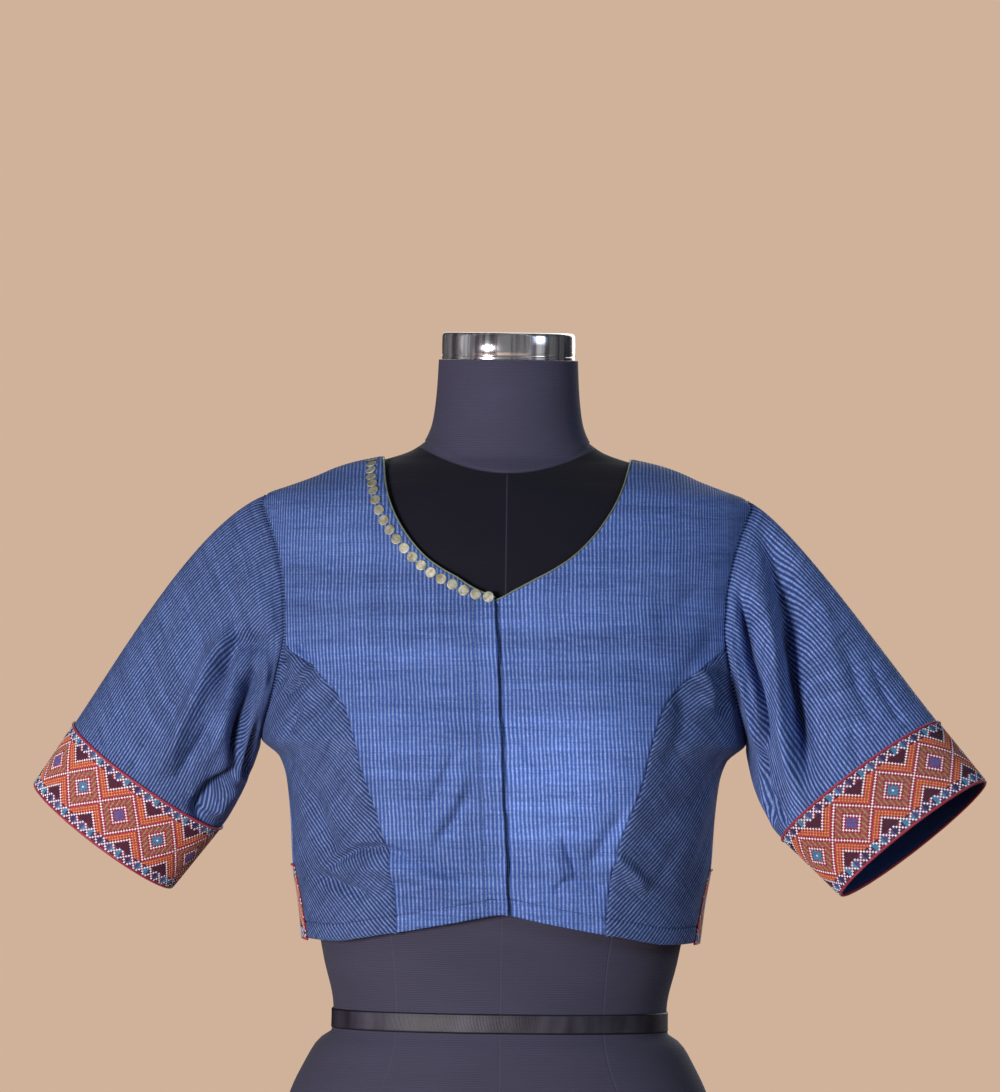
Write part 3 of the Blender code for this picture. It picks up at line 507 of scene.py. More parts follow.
# Waist tape
# A glossy black satin ribbon, 15 mm wide, drawn tight round the form's waist. Its woven edges
# lie down on the form, and it bulges a little just inside them.
TAPE_HEIGHT = 242.4
TAPE_WIDTH = 15.2
TAPE_OUT = 1.2
TAPE_WALL = 0.7

tape_rise = np.linspace(0.0, 1.0, 15)
points, outward = ring_of_form(TAPE_HEIGHT + TAPE_WIDTH * tape_rise)
edge = np.minimum(tape_rise, 1.0 - tape_rise)
bulge = TAPE_OUT - 0.35 * np.exp(-edge / 0.05) + 0.25 * np.exp(-(((edge - 0.10) / 0.04) ** 2))
angles = np.linspace(0.0, 2.0 * math.pi, FORM_COLUMNS, endpoint=False)
ripple = 0.18 * np.sin(9.0 * angles) * np.sin(4.0 * angles + 1.0)
points = points + outward * (bulge[:, None] + ripple[None, :])[..., None]
around = reach_along(come_round(points), 1)
uv = np.stack(np.broadcast_arrays(around, (tape_rise * TAPE_WIDTH)[:, None]), axis=-1)
tape = with_wall(woven_mesh("waist_ribbon", points, uv, closed=True), TAPE_WALL)

satin = new_finish("waist_satin", roughness=0.40, specular=0.4)
tree, chart, u, v = cloth_places_in(satin)
folds = noise(tree, stretched(chart, 34.0, 9.0), 1.0, 3.0)
weft = wave(u, 0.0011) * 0.5 + 0.5
rim = (v - 0.5 * TAPE_WIDTH * MM).size().between(0.0058, 0.0070)
# Painted sheen: the ribbon's colour is lighter where the fold noise rises, for the satin's gleam on its
# folds.
colour = mixed(folds.between(0.35, 0.75), (0.012, 0.009, 0.016), (0.062, 0.054, 0.082))
feed(satin, "Base Color", mixed(rim, colour, (0.006, 0.005, 0.009)))
feed(satin, "Roughness", 0.38 + folds * 0.20)
relief(satin, folds * 0.8 + weft * 0.25, 0.5, 0.6)
tape.data.materials.append(satin)
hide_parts("form_waist_tape")
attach(tape, "root")

# Neck cap
# A turned and chromed metal cap closes the neck. Its wall is bright, with a rolled shoulder
# above, a flat top, and one groove where it was turned.
CAP_GAP = 0.3
CAP_HEIGHT = 21.0
CAP_PROFILE = (
    ("rise", "scale"),
    (0.00, 0.955),
    (0.01, 0.970),
    (0.10, 0.972),
    (0.13, 0.962),
    (0.17, 0.962),
    (0.20, 0.970),
    (0.55, 0.972),
    (0.84, 0.970),
    (0.91, 0.964),
    (0.96, 0.952),
    (0.99, 0.930),
    (1.00, 0.900),
    (1.00, 0.780),
    (0.99, 0.760),
    (0.99, 0.400),
)

rim_points, _ = ring_of_form(np.array([top_height]))
rim_points = sloped(rim_points)[0]
middle = rim_points.mean(axis=0)
rings = []
for rise, scale in CAP_PROFILE[1:]:
    ring = middle + (rim_points - middle) * scale
    ring[:, 2] += CAP_GAP + CAP_HEIGHT * rise
    rings.append(ring)
cap = woven_mesh("neck_cap", np.array(rings), closed=True, capped=True)
cap.data.set_sharp_from_angle(angle=math.radians(40.0))

chrome = new_finish("neck_chrome", roughness=0.10, metallic=0.84)
tree, place = places_in(chrome)
brushed = noise(tree, stretched(place, 6.0, 6.0, 900.0), 1.0, 2.0)
facing_up = parts_of(node(tree, "ShaderNodeTexCoord", out=1))[2].between(0.5, 0.9)
on_wall = 1.0 - facing_up
smears = noise(tree, place, 45.0, 4.0) * (on_wall * 0.8 + 0.2)
# Painted reflection: the wall's colour runs in broad upright streaks from dark to near white, for the room
# mirrored in the chrome, and the flat top is near white.
turned = noise(tree, stretched(place, 130.0, 130.0, 5.0), 1.0, 3.0, 0.7).between(0.36, 0.62)
turned = turned * on_wall + facing_up * 0.8
tone_and_painted_light = mixed(turned, (0.30, 0.26, 0.29), (1.0, 0.96, 0.98))
feed(chrome, "Base Color", dimmed(tone_and_painted_light, 1.05 - smears * 0.3))
feed(chrome, "Roughness", 0.06 + smears * 0.16)
relief(chrome, brushed * 0.3 + smears, 0.25, 0.5)
cap.data.materials.append(chrome)
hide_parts("form_neck_cap")
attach(cap, "root")

# Fronts
# Each front is one piece of handloom cloth from the lap at centre front to the princess seam and
# the armhole. Pale blue lines 3 mm apart run down it on a darker blue ground, and uneven weft
# yarn makes soft bars across. Painted light and shade makes each front lighter or darker by
# height, the right front lighter than the left. The right front laps over the left one with a
# pressed fold.
CLOTH_TORSO = (
    ("height", "half_width", "front", "back", "roundness"),
    (300.0, 153.5, 110.0, 101.0, 2.30),
    (340.0, 158.0, 110.5, 99.5, 2.30),
    (372.0, 163.0, 111.5, 99.0, 2.35),
    (405.0, 165.0, 112.5, 99.5, 2.40),
    (436.0, 168.5, 114.0, 101.0, 2.45),
    (452.0, 174.0, 114.5, 102.0, 2.45),
    (467.0, 189.0, 114.5, 103.0, 2.40),
    (500.0, 188.0, 113.0, 105.0, 2.30),
    (546.0, 186.0, 109.0, 106.5, 2.20),
    (577.0, 185.5, 105.5, 106.0, 2.10),
    (608.0, 186.5, 99.5, 103.0, 2.00),
    (640.0, 190.0, 90.0, 97.0, 1.80),
    (650.0, 191.5, 85.5, 93.2, 1.72),
    (656.5, 187.0, 82.5, 90.5, 1.66),
    (664.0, 168.0, 78.5, 87.0, 1.58),
    (670.0, 152.0, 74.5, 83.5, 1.54),
    (677.5, 135.0, 68.5, 78.0, 1.52),
    (682.5, 120.0, 64.0, 74.5, 1.52),
    (687.5, 97.0, 59.0, 71.0, 1.60),
)
RIGHT = -1
LEFT = 1
SIDES = {RIGHT: "right", LEFT: "left"}
CLOTH_BUST = (17.0, 56.0)
SHOULDER_TIP_HEIGHT = 656.0
ARMPIT_HEIGHT = 466.0
ARMHOLE_MIDDLE = 0.5 * (SHOULDER_TIP_HEIGHT + ARMPIT_HEIGHT)
HEM_FRONT_HEIGHT = 333.5
HEM = (
    ("angle", "height"),
    (0.0, HEM_FRONT_HEIGHT),
    (12.0, 326.0),
    (30.0, 318.0),
    (55.0, 311.0),
    (90.0, 313.0),
    (135.0, 309.0),
    (180.0, 308.0),
)
LAP_EDGE_TOP = (-8.0, 574.5)
LAP_EDGE_HEM = (5.5, HEM_FRONT_HEIGHT)
UNDERLAP = 24.0
LAP_LIFT = 1.9
LAP_LIFT_FULL_WITHIN = 32.0
LAP_LIFT_ENDS_AT = 62.0
NECK_EDGE_RIGHT = (
    ("across", "height"),
    (-8.0, 574.5),
    (-24.0, 581.6),
    (-37.1, 589.9),
    (-51.0, 597.9),
    (-64.3, 608.5),
    (-77.8, 624.9),
    (-87.5, 642.3),
    (-93.4, 661.0),
    (-97.0, 687.5),
)
NECK_EDGE_LEFT = (
    ("across", "height"),
    (-31.5, 563.0),
    (-6.0, 573.5),
    (5.0, 579.5),
    (20.9, 588.4),
    (36.9, 597.2),
    (52.9, 608.5),
    (69.0, 625.3),
    (82.1, 645.0),
    (90.5, 663.8),
    (97.0, 687.5),
)
PRINCESS_SEAM = (
    ("across", "height"),
    (80.0, 318.0),
    (81.5, 341.0),
    (86.5, 376.0),
    (97.0, 405.0),
    (106.5, 432.0),
    (113.5, 462.0),
    (121.5, 489.0),
    (131.5, 504.0),
    (149.5, 521.5),
)
PRINCESS_ENDS_AT_TURN = -13.0
ARMHOLE_SCOOP_FRONT = 24.0
ARMHOLE_SCOOP_BACK = 20.0
ARMHOLE_SCOOP_LEAN = 0.12
ARMHOLE_SCOOP_POWER = 1.3
ROWS_TO_V = 11
ROWS_TO_SHOULDER = 11
CROWDING = 1.4
# Where the panels have closer rows for the sewing above the hem: from, to and step
HEM_SEWING_ROWS = (0.50, 0.78, 0.035)
CLOTH_WALL = 1.0
SEAM_SINKS = 1.4
SEAM_ROLL = 1.5
FOLD_ROLL = 0.9
STRIPE_PITCH = 3.1
PICK_PITCH = 2.1
HEM_ROW_UP = 13.0
HEM_ROW_SINKS = 0.8
PLACKET_IN = 17.0
PLACKET_STANDS = 0.6
LAP_PUFF = 1.3
LAP_PUFF_WIDTH = 4.0
LAP_SHADOW_DEPTH = 2.0
LAP_SHADOW_WIDTH = 3.4
FOLD_FADE = 0.28
GROUND_BLUES = ((0.036, 0.088, 0.310), (0.046, 0.104, 0.340))
STRIPE_BLUES = ((0.318, 0.400, 0.745), (0.242, 0.326, 0.672))
# The inside's dark navy is partly the cloth back's own colour and partly painted shade of the hollows
LINING_AND_SHADE_BLUES = ((0.006, 0.014, 0.070), (0.012, 0.026, 0.105))
# Folds dragged from the armhole to the bust, then the finer creases by the armhole and under the
# bust. Each has its depth, its half-width and the bends of its line, as (across, height) places.
FRONT_FOLDS = (
    ("side", "depth", "spread", "line"),
    (LEFT, 3.0, 9.0, (171.2, 565.4), (124.8, 486.6)),
    (LEFT, 1.6, 10.0, (161.0, 604.2), (117.0, 543.8)),
    (RIGHT, 3.2, 9.0, (172.7, 562.2), (133.3, 471.8)),
    (RIGHT, 2.4, 8.0, (154.3, 443.4), (91.7, 394.6)),
    (LEFT, 2.0, 8.0, (149.4, 433.4), (100.6, 384.6)),
)
FRONT_CREASES = (
    ("side", "depth", "spread", "line"),
    (RIGHT, 5.3, 2.5, (165, 546), (160, 536), (153, 526), (149, 514)),
    (RIGHT, 4.9, 2.5, (174, 536), (171, 522), (175, 504)),
    (RIGHT, 4.9, 2.5, (151, 515), (160, 507), (172, 498)),
    (RIGHT, -3.0, 3.8, (168, 545), (162, 522), (150, 500)),
    (RIGHT, 3.8, 2.8, (156, 494), (162, 482), (167, 468)),
    (RIGHT, 2.9, 4.0, (34, 462), (45, 436), (60, 410)),
    (RIGHT, -2.7, 5.0, (24, 450), (38, 421), (60, 388)),
    (RIGHT, 3.2, 3.6, (24, 430), (36, 405), (56, 380)),
    (RIGHT, 6.8, 3.0, (141, 362), (127, 373), (112.0, 381.5), (94, 383), (76.0, 378.5), (58.0, 371.5)),
    (RIGHT, 4.9, 3.4, (72, 377), (56.0, 370.5), (38, 364), (18, 358)),
    (RIGHT, -5.3, 6.2, (126, 362), (98, 369), (62, 361), (28, 350)),
    (RIGHT, 6.5, 4.3, (148, 364), (126, 355), (98, 344)),
    (RIGHT, 5.8, 7.0, (152, 432), (141, 402), (126, 372)),
    (RIGHT, 2.9, 5.0, (110, 446), (101, 416), (95, 390)),
    (RIGHT, -2.4, 4.0, (118, 490), (110, 468), (103, 442)),
    (RIGHT, 1.9, 4.5, (122, 500), (76, 496), (20, 493)),
    (RIGHT, 1.6, 5.0, (140, 524), (80, 520), (34, 523)),
    (RIGHT, 1.7, 7.0, (118, 610), (128, 580), (120, 552)),
    (LEFT, 3.2, 2.4, (10, 471), (17, 462), (19, 453), (28, 447), (38, 435)),
    (LEFT, 4.9, 2.3, (44, 397), (50, 381), (60, 360)),
    (LEFT, 3.8, 2.5, (38, 350), (48, 359), (61, 362)),
    (LEFT, 3.8, 3.0, (54, 363), (66, 359), (80, 352)),
    (LEFT, -3.0, 3.8, (36, 384), (44, 368), (48, 350)),
    (LEFT, 3.6, 6.5, (98, 420), (83, 396), (71, 378), (66, 360)),
    (LEFT, -5.7, 4.8, (78, 384), (96, 370), (114, 350)),
    (LEFT, -6.1, 4.8, (147, 530), (156, 512), (161, 488)),
    (LEFT, 6.5, 4.8, (163, 528), (169, 506), (169, 484)),
    (LEFT, 4.1, 7.0, (140, 512), (138, 476), (124, 440)),
    (LEFT, 2.0, 6.0, (160, 590), (136, 572), (106, 560)),
    (LEFT, 1.8, 5.0, (24, 524), (70, 519), (128, 526)),
    (LEFT, 1.9, 5.0, (22, 498), (70, 494), (116, 500)),
    (LEFT, 1.9, 5.7, (20, 400), (44, 404), (86, 398)),
)

cloth_torso = Torso(CLOTH_TORSO, CLOTH_BUST)
hem_line = SmoothTable(HEM)


def crowded(share):
    """Shares from 0 to 1 that lie closer together towards 1."""
    return 1.0 - (1.0 - share) ** CROWDING


def climb(rows, start, count=ROWS_TO_SHOULDER):
    """Shares of an edge that a panel's rows climb from a starting row on, crowded towards its top."""
    return crowded(np.clip((rows - start) / count, 0.0, 1.0))


def panel_shares(count):
    """Shares from 0 to 1, with extra ones near both ends, where cloth rolls into its seam."""
    near = np.array([0.0, 0.003, 0.007, 0.012, 0.019])
    return np.concatenate([near, np.linspace(0.03, 0.97, count), 1.0 - near[::-1]])


def points_along(table, shares):
    """Points at shares of the length of a smooth curve through a table of (across, height)."""
    knots = np.array(table[1:], dtype=float)
    ends = np.vstack([2 * knots[0] - knots[1], knots, 2 * knots[-1] - knots[-2]])
    s = np.arange(24)[:, None] / 24
    dense = [
        0.5 * (2 * b + (c - a) * s + (2 * a - 5 * b + 4 * c - d) * s**2 + (3 * b - a - 3 * c + d) * s**3)
        for a, b, c, d in zip(ends, ends[1:], ends[2:], ends[3:])
    ]
    dense = np.vstack(dense + [knots[-1:]])
    reach = reach_along(dense, 0)
    want = reach[-1] * shares
    return np.interp(want, reach, dense[:, 0]), np.interp(want, reach, dense[:, 1])


def angle_at(across, height):
    """The angle of the front's point that is this far across at this height."""
    share = np.minimum(np.abs(across) / cloth_torso.read("half_width", height), 1.0)
    turn = np.degrees(np.arcsin(share ** (cloth_torso.read("roundness", height) / 2.0)))
    return np.copysign(turn, across)


def armhole_place(turn):
    """(angle, height) on the armhole. Turn is 90 at the shoulder tip, 0 at the front, -90 at the
    armpit and 180 at the back."""
    rise = np.sin(np.radians(turn))
    forward = np.cos(np.radians(turn))
    height = ARMHOLE_MIDDLE + 0.5 * (SHOULDER_TIP_HEIGHT - ARMPIT_HEIGHT) * rise
    scoop = np.where(forward >= 0.0, ARMHOLE_SCOOP_FRONT, -ARMHOLE_SCOOP_BACK)
    scoop = scoop * np.abs(forward) ** ARMHOLE_SCOOP_POWER * (1.0 - ARMHOLE_SCOOP_LEAN * rise)
    return 90.0 - scoop, height


def lap_edge_across(height):
    """How far across the right front's edge lies at this height."""
    share = (height - LAP_EDGE_HEM[1]) / (LAP_EDGE_TOP[1] - LAP_EDGE_HEM[1])
    return LAP_EDGE_HEM[0] + (LAP_EDGE_TOP[0] - LAP_EDGE_HEM[0]) * share


def fold_depth(folds, side, at, along, scale=(1.0, 1.0)):
    """Depth of one side's folds at each place. A fold is a soft trough along a bent line, and
    fades out towards both of its ends. A ridge has a negative depth."""
    here = np.stack(np.broadcast_arrays(at, along), axis=-1) * scale
    depth = np.zeros(here.shape[:-1])
    for of_side, deep, spread, *line in folds[1:]:
        if of_side != side:
            continue
        bends = np.array(line) * scale
        lengths = np.linalg.norm(np.diff(bends, axis=0), axis=1)
        total = lengths.sum()
        nearest = np.full(depth.shape, np.inf)
        reach = np.zeros(depth.shape)
        before = 0.0
        for start, end, length in zip(bends, bends[1:], lengths):
            share = np.clip((here - start) @ (end - start) / length**2, 0.0, 1.0)
            away = np.linalg.norm(here - start - share[..., None] * (end - start), axis=-1)
            reach = np.where(away < nearest, before + share * length, reach)
            nearest = np.minimum(nearest, away)
            before += length
        share = reach / total
        ends = smooth_step(0.0, FOLD_FADE, share) * (1.0 - smooth_step(1.0 - FOLD_FADE, 1.0, share))
        depth += deep * ends * np.exp(-((nearest / spread) ** 2))
    return depth


def cloth_spot(angle, height, out=0.0, lapped=False, creased=True):
    """Points of the worn cloth's outer face, moved out, and the directions square to it."""
    plain = cloth_torso.point(angle, height)
    outward = cloth_torso.outward(angle, height)
    across = np.abs(plain[..., 0])
    out = out + 0.0 * across
    for side in (RIGHT, LEFT):
        here = (np.sign(angle) == side) & (np.abs(angle) < 90.0)
        deep = fold_depth(FRONT_FOLDS, side, across, height)
        if creased:
            deep = deep + fold_depth(FRONT_CREASES, side, across, height)
        out = out - np.where(here, deep, 0.0)
    from_lap = lap_edge_across(height) - plain[..., 0]
    if lapped:
        out = out + LAP_LIFT * (1.0 - smooth_step(LAP_LIFT_FULL_WITHIN, LAP_LIFT_ENDS_AT, from_lap))
        out = out + PLACKET_STANDS * (1.0 - smooth_step(PLACKET_IN - 0.4, PLACKET_IN + 0.8, from_lap))
        out = out + LAP_PUFF * np.exp(-((np.maximum(from_lap, 0.0) / LAP_PUFF_WIDTH) ** 2))
    else:
        groove = LAP_SHADOW_DEPTH * np.exp(-((from_lap / LAP_SHADOW_WIDTH) ** 2))
        out = out - np.where((np.abs(angle) < 90.0) & (height < LAP_EDGE_TOP[1] - 4.0), groove, 0.0)
    return plain + outward * out[..., None], outward


def hem_blend(rail_a, rail_b, shares, rows):
    """Places (angle, height) between two rails. The lowest row follows the hem, and the rows
    over it ease back to straight ones."""
    angle = rail_a[0][:, None] + (rail_b[0] - rail_a[0])[:, None] * shares
    height = rail_a[1][:, None] + (rail_b[1] - rail_a[1])[:, None] * shares
    ease = np.maximum(0.0, 1.0 - rows / ROWS_TO_V)[:, None]
    height = height + (hem_line.read("height", np.abs(angle[:1])) - height[:1]) * ease
    return angle, height


def princess_rail(rows):
    """The princess seam from row 0 at the hem to row 11, where it meets the armhole, then on up
    the armhole to the shoulder tip at row 22."""
    last = ROWS_TO_V - 1.0
    across, height = points_along(PRINCESS_SEAM, np.clip(rows / last, 0.0, 1.0))
    angle = angle_at(across, height)
    height = height + (hem_line.read("height", angle) - height) * np.maximum(0.0, 1.0 - rows)
    low_angle, low_height = armhole_place(PRINCESS_ENDS_AT_TURN)
    join = np.clip(rows - last, 0.0, 1.0)
    angle = angle + (low_angle - angle) * join
    height = height + (low_height - height) * join
    turn = PRINCESS_ENDS_AT_TURN + (90.0 - PRINCESS_ENDS_AT_TURN) * climb(rows, ROWS_TO_V)
    up_angle, up_height = armhole_place(turn)
    above_v = rows > ROWS_TO_V
    return np.where(above_v, up_angle, angle), np.where(above_v, up_height, height)


def centre_rail(side, rows):
    """The front's edge at the lap from row 0 at the hem to the V at row 11, then its neck edge."""
    over = side == RIGHT
    table = NECK_EDGE_RIGHT if over else NECK_EDGE_LEFT
    height = HEM_FRONT_HEIGHT + (table[1][1] - HEM_FRONT_HEIGHT) * rows / ROWS_TO_V
    wander = 0.35 * np.sin(height * 0.19) + 0.5 * np.sin(height * 0.083 + 1.0)
    wander = wander * smooth_step(HEM_FRONT_HEIGHT, HEM_FRONT_HEIGHT + 20.0, height)
    across = lap_edge_across(height) + (wander if over else -UNDERLAP)
    neck_across, neck_height = points_along(table, climb(rows, ROWS_TO_V))
    above_v = rows > ROWS_TO_V
    across = np.where(above_v, neck_across, across)
    height = np.where(above_v, neck_height, height)
    return side * angle_at(across, height), height


def rolled(points, outward, sinks):
    """Sinks a panel along its edges, or along lines beside them, as a seam or a row of sewing
    does. Each is (edge, distance from it, depth, width): low, high, first or final."""
    along = reach_along(points, 0)
    across = reach_along(points, 1)
    away = {"low": along, "high": along[-1:] - along, "first": across, "final": across[:, -1:] - across}
    depth = 0.0 * across
    for edge, at, deep, width in sinks:
        run = across if edge in ("low", "high") else along
        pucker = 1.0 + 0.30 * np.sin(run * 0.47 + 1.6 * np.sin(run * 0.11))
        depth = depth + deep * pucker * np.exp(-(((away[edge] - at) / width) ** 2))
    return points - outward * depth[..., None]


# The cloth's own width is measured round the chest from centre front, and its length up the bust
CHEST_HEIGHT = 560.0
PROFILE_ANGLE = 20.0
chest = cloth_torso.point(np.linspace(0.0, 89.0, 400), np.full(400, CHEST_HEIGHT))
chest_reach = reach_along(chest[:, :2], 0)
profile_heights = np.linspace(300.0, 690.0, 400)
profile_reach = reach_along(cloth_torso.point(np.full(400, PROFILE_ANGLE), profile_heights), 0)


def chart_of(points, from_lap=True):
    """The cloth's own place of each point of a front or back: how far across from its straight
    grain, which follows the lap on a front, and how far up."""
    x, z = points[..., 0], points[..., 2]
    if from_lap:
        x = x - lap_edge_across(np.minimum(z, LAP_EDGE_TOP[1]))
    beyond = np.maximum(np.abs(x) - chest[-1, 0], 0.0)
    across = np.sign(x) * (np.interp(np.abs(x), chest[:, 0], chest_reach) + 2.0 * beyond)
    return np.stack([across, np.interp(z, profile_heights, profile_reach)], axis=-1)


def shell_area(points):
    """The area of a grid of points, in square metres."""
    a = points[1:, :-1] - points[:-1, :-1]
    b = points[:-1, 1:] - points[:-1, :-1]
    return float(np.linalg.norm(np.cross(a, b), axis=-1).sum()) * MM * MM


def handloom_finish(name, tone_and_painted_light, dark, pitch=1.0, painted_light_by_height=(), placket=False):
    """The striped cloth. Its tone makes the whole piece lighter or darker: painted light and shade
    for where it hangs, and on the side fronts also the lightness of their bias cut. Dark is the share
    of its ground's lightness, and the table by height paints light and shade up the piece."""
    finish = new_finish(
        name, roughness=0.62, specular=0.14, sheen=0.05, sheen_roughness=0.35, tint=(0.60, 0.70, 1.0)
    )
    tree, chart, u, v = cloth_places_in(finish)
    sway = noise(tree, stretched(chart, 24.0, 26.0), 1.0, 3.0) * 0.0034 + noise(tree, chart, 420.0) * 0.0007
    swell = noise(tree, stretched(chart, 210.0, 330.0), 1.0, 3.0)
    line = wave(u + sway, STRIPE_PITCH * pitch * MM).between(-0.25 - swell * 0.50, 1.0)
    weft_thick = noise(tree, stretched(chart, 34.0, 560.0), 1.0, 3.0)
    broken = noise(tree, stretched(chart, 300.0, 330.0), 1.0, 2.0).between(0.32, 0.66)
    streaks = noise(tree, stretched(chart, 24.0, 420.0, turn=0.6), 1.0, 3.0).between(0.50, 0.72)
    weft_bars = noise(tree, stretched(chart, 3.0, 66.0), 1.0, 4.0, 0.6)
    clouds = noise(tree, stretched(chart, 12.0, 30.0), 1.0, 2.0)
    rumple = noise(tree, stretched(chart, 26.0, 34.0), 1.0, 2.0)
    nubs = noise(tree, stretched(chart, 900.0, 1100.0), 1.0, 1.0)
    warp = noise(tree, stretched(chart, 400.0, 5.0), 1.0, 2.0)
    picks = wave(v, PICK_PITCH * MM, noise(tree, chart, 300.0) * 4.0) * 0.5 + 0.5
    strength = (warp * 0.44 + weft_thick * 0.46 + broken * 0.26 + nubs * 0.46 - 0.12) * (0.88 + picks * 0.14)
    strength = strength * (1.0 - streaks * 0.26)
    ground = mixed(clouds.between(0.3, 0.7), *GROUND_BLUES)
    ground = dimmed(ground, clouds * 0.12 + (dark - 0.06))
    pale = mixed(swell, *STRIPE_BLUES)
    colour = mixed(line * strength, ground, pale)
    uneven = weft_bars.between(0.34, 0.66) * 0.26 + weft_thick.between(0.30, 0.70) * 0.20
    uneven = uneven + nubs.between(0.30, 0.70) * 0.24 + warp.between(0.30, 0.70) * 0.14
    shade = (0.66 + uneven + clouds * 0.10 - streaks * 0.08) * tone_and_painted_light
    # Painted light and shade by height, from the given table
    for (low, before), (high, after) in zip(painted_light_by_height[1:], painted_light_by_height[2:]):
        passed = (v + clouds * 0.006).between(low * MM, high * MM)
        shade = shade * (1.0 + passed * (after / before - 1.0))
    # The placket strip beyond its sewing is made a little lighter, and painted shade darkens a narrow line
    # along the sewing, where it sinks in.
    if placket:
        from_sewing = u + PLACKET_IN * MM
        folded = from_sewing.between(-0.0002, 0.0006)
        shade = shade * (1.0 + folded * 0.10 - from_sewing.size().between(0.0011, 0.0002) * 0.22)
    feed(finish, "Base Color", dimmed(colour, shade))
    feed(finish, "Roughness", 0.68 - line * 0.14)
    fine = wave(u, 0.00052) * wave(v, 0.00060)
    relief(finish, line * 0.5 + weft_thick * 0.9 + picks * 0.25 + fine * 0.25 + rumple * 4.0, 0.28, 0.8)
    return finish


# The cloth's plain back, dark navy: partly its own colour, partly painted shade of the hollows that it is
# seen in.
lining_and_shade = new_finish("inside_cloth", roughness=0.75, specular=0.2)
tree, chart, u, v = cloth_places_in(lining_and_shade)
feed(lining_and_shade, "Base Color", mixed(noise(tree, stretched(chart, 20.0, 300.0), 1.0), *LINING_AND_SHADE_BLUES))
relief(lining_and_shade, wave(u, 0.0016) * 0.5 + wave(v, 0.0018) * 0.5, 0.15, 0.6)


def finish_cloth(piece, cloth):
    """The striped cloth outside, its plain dark back inside, and a wall's thickness between."""
    piece.data.materials.append(cloth)
    piece.data.materials.append(lining_and_shade)
    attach(piece, "root")
    return with_wall(piece, CLOTH_WALL, 1)


# Painted light and shade on each front: how much lighter or darker it is made at each height up
# its cloth, the right front lighter all over and the left one darker
RIGHT_FRONT_PAINTED_LIGHT = (
    ("height", "lightness"),
    (0.0, 1.52), (10.0, 1.50), (23.0, 1.28), (48.0, 1.18), (73.0, 1.24), (98.0, 1.27), (123.0, 1.31),
    (149.0, 1.37), (184.0, 1.33), (196.0, 1.22), (224.0, 1.32), (250.0, 1.24), (275.0, 1.08), (300.0, 1.10),
)
LEFT_FRONT_PAINTED_SHADE = (
    ("height", "lightness"),
    (0.0, 0.84), (48.0, 0.84), (73.0, 0.77), (85.0, 0.88), (98.0, 1.00), (123.0, 1.02), (149.0, 0.98),
    (184.0, 0.96), (196.0, 0.76), (224.0, 0.74), (250.0, 0.67), (275.0, 0.76), (300.0, 0.70),
)
right_front_cloth = handloom_finish("blue_stripe_right_front", 1.0, 1.0, 1.0, RIGHT_FRONT_PAINTED_LIGHT, placket=True)
front_cloth = handloom_finish("blue_stripe_left_front", 1.0, 1.0, 1.0, LEFT_FRONT_PAINTED_SHADE)
# Extra rows take the line where the hem's sewing sinks in
sewn_rows = np.arange(*HEM_SEWING_ROWS)
front_rows = np.union1d(panel_shares(160) * (ROWS_TO_V + ROWS_TO_SHOULDER), sewn_rows)
front_shares = panel_shares(92)
front_grids = {}
for side, label in SIDES.items():
    over = side == RIGHT
    rails = centre_rail(side, front_rows), princess_rail(front_rows)
    angle, height = hem_blend(*rails, front_shares, front_rows)
    points, outward = cloth_spot(side * angle, height, lapped=over)
    points = rolled(
        points, outward,
        (
            ("final", 0.0, SEAM_SINKS, SEAM_ROLL), ("first", 0.0, 0.9, FOLD_ROLL),
            ("low", 0.0, 0.8, FOLD_ROLL), ("high", 0.0, 0.9, 1.2), ("low", HEM_ROW_UP, HEM_ROW_SINKS, 1.0),
        ),
    )
    if over:
        points = points[:, ::-1]
    cloth = right_front_cloth if over else front_cloth
    piece = finish_cloth(woven_mesh(f"front_{label}_cloth", points, chart_of(points)), cloth)
    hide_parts(f"front_{label}")
    front_grids[side] = points

# Side fronts
# Cut on the bias, so that their lines meet the front's in a chevron at the princess seam. Each
# runs from that seam to the side seam, and up to the lower part of the armhole.
BIAS = 33.0
SIDE_SEAM_FORWARD = 15.0
SIDE_SEWING_ROWS = (0.50, 1.05, 0.04)
SIDE_CREASES = (
    ("side", "depth", "spread", "line"),
    (RIGHT, 2.2, 7.0, (88.7, 475.0), (49.3, 403.0)),
    (RIGHT, 1.4, 8.0, (81.8, 425.4), (56.2, 346.6)),
    (RIGHT, 1.3, 4.0, (61.3, 383.8), (42.7, 358.2)),
    (LEFT, 2.0, 7.0, (88.6, 466.2), (51.4, 405.8)),
    (LEFT, 1.5, 8.0, (79.4, 417.0), (58.6, 345.0)),
    (LEFT, 1.0, 5.0, (52.6, 395.2), (43.4, 348.8)),
)


def side_seam_rail(rows):
    """The side seam from the hem, where it runs forward of the side line, to the armpit."""
    share = np.clip(rows / ROWS_TO_V, 0.0, 1.0)
    low = 90.0 - SIDE_SEAM_FORWARD
    bottom = hem_line.read("height", low)
    return low + SIDE_SEAM_FORWARD * share, bottom + (ARMPIT_HEIGHT - bottom) * share
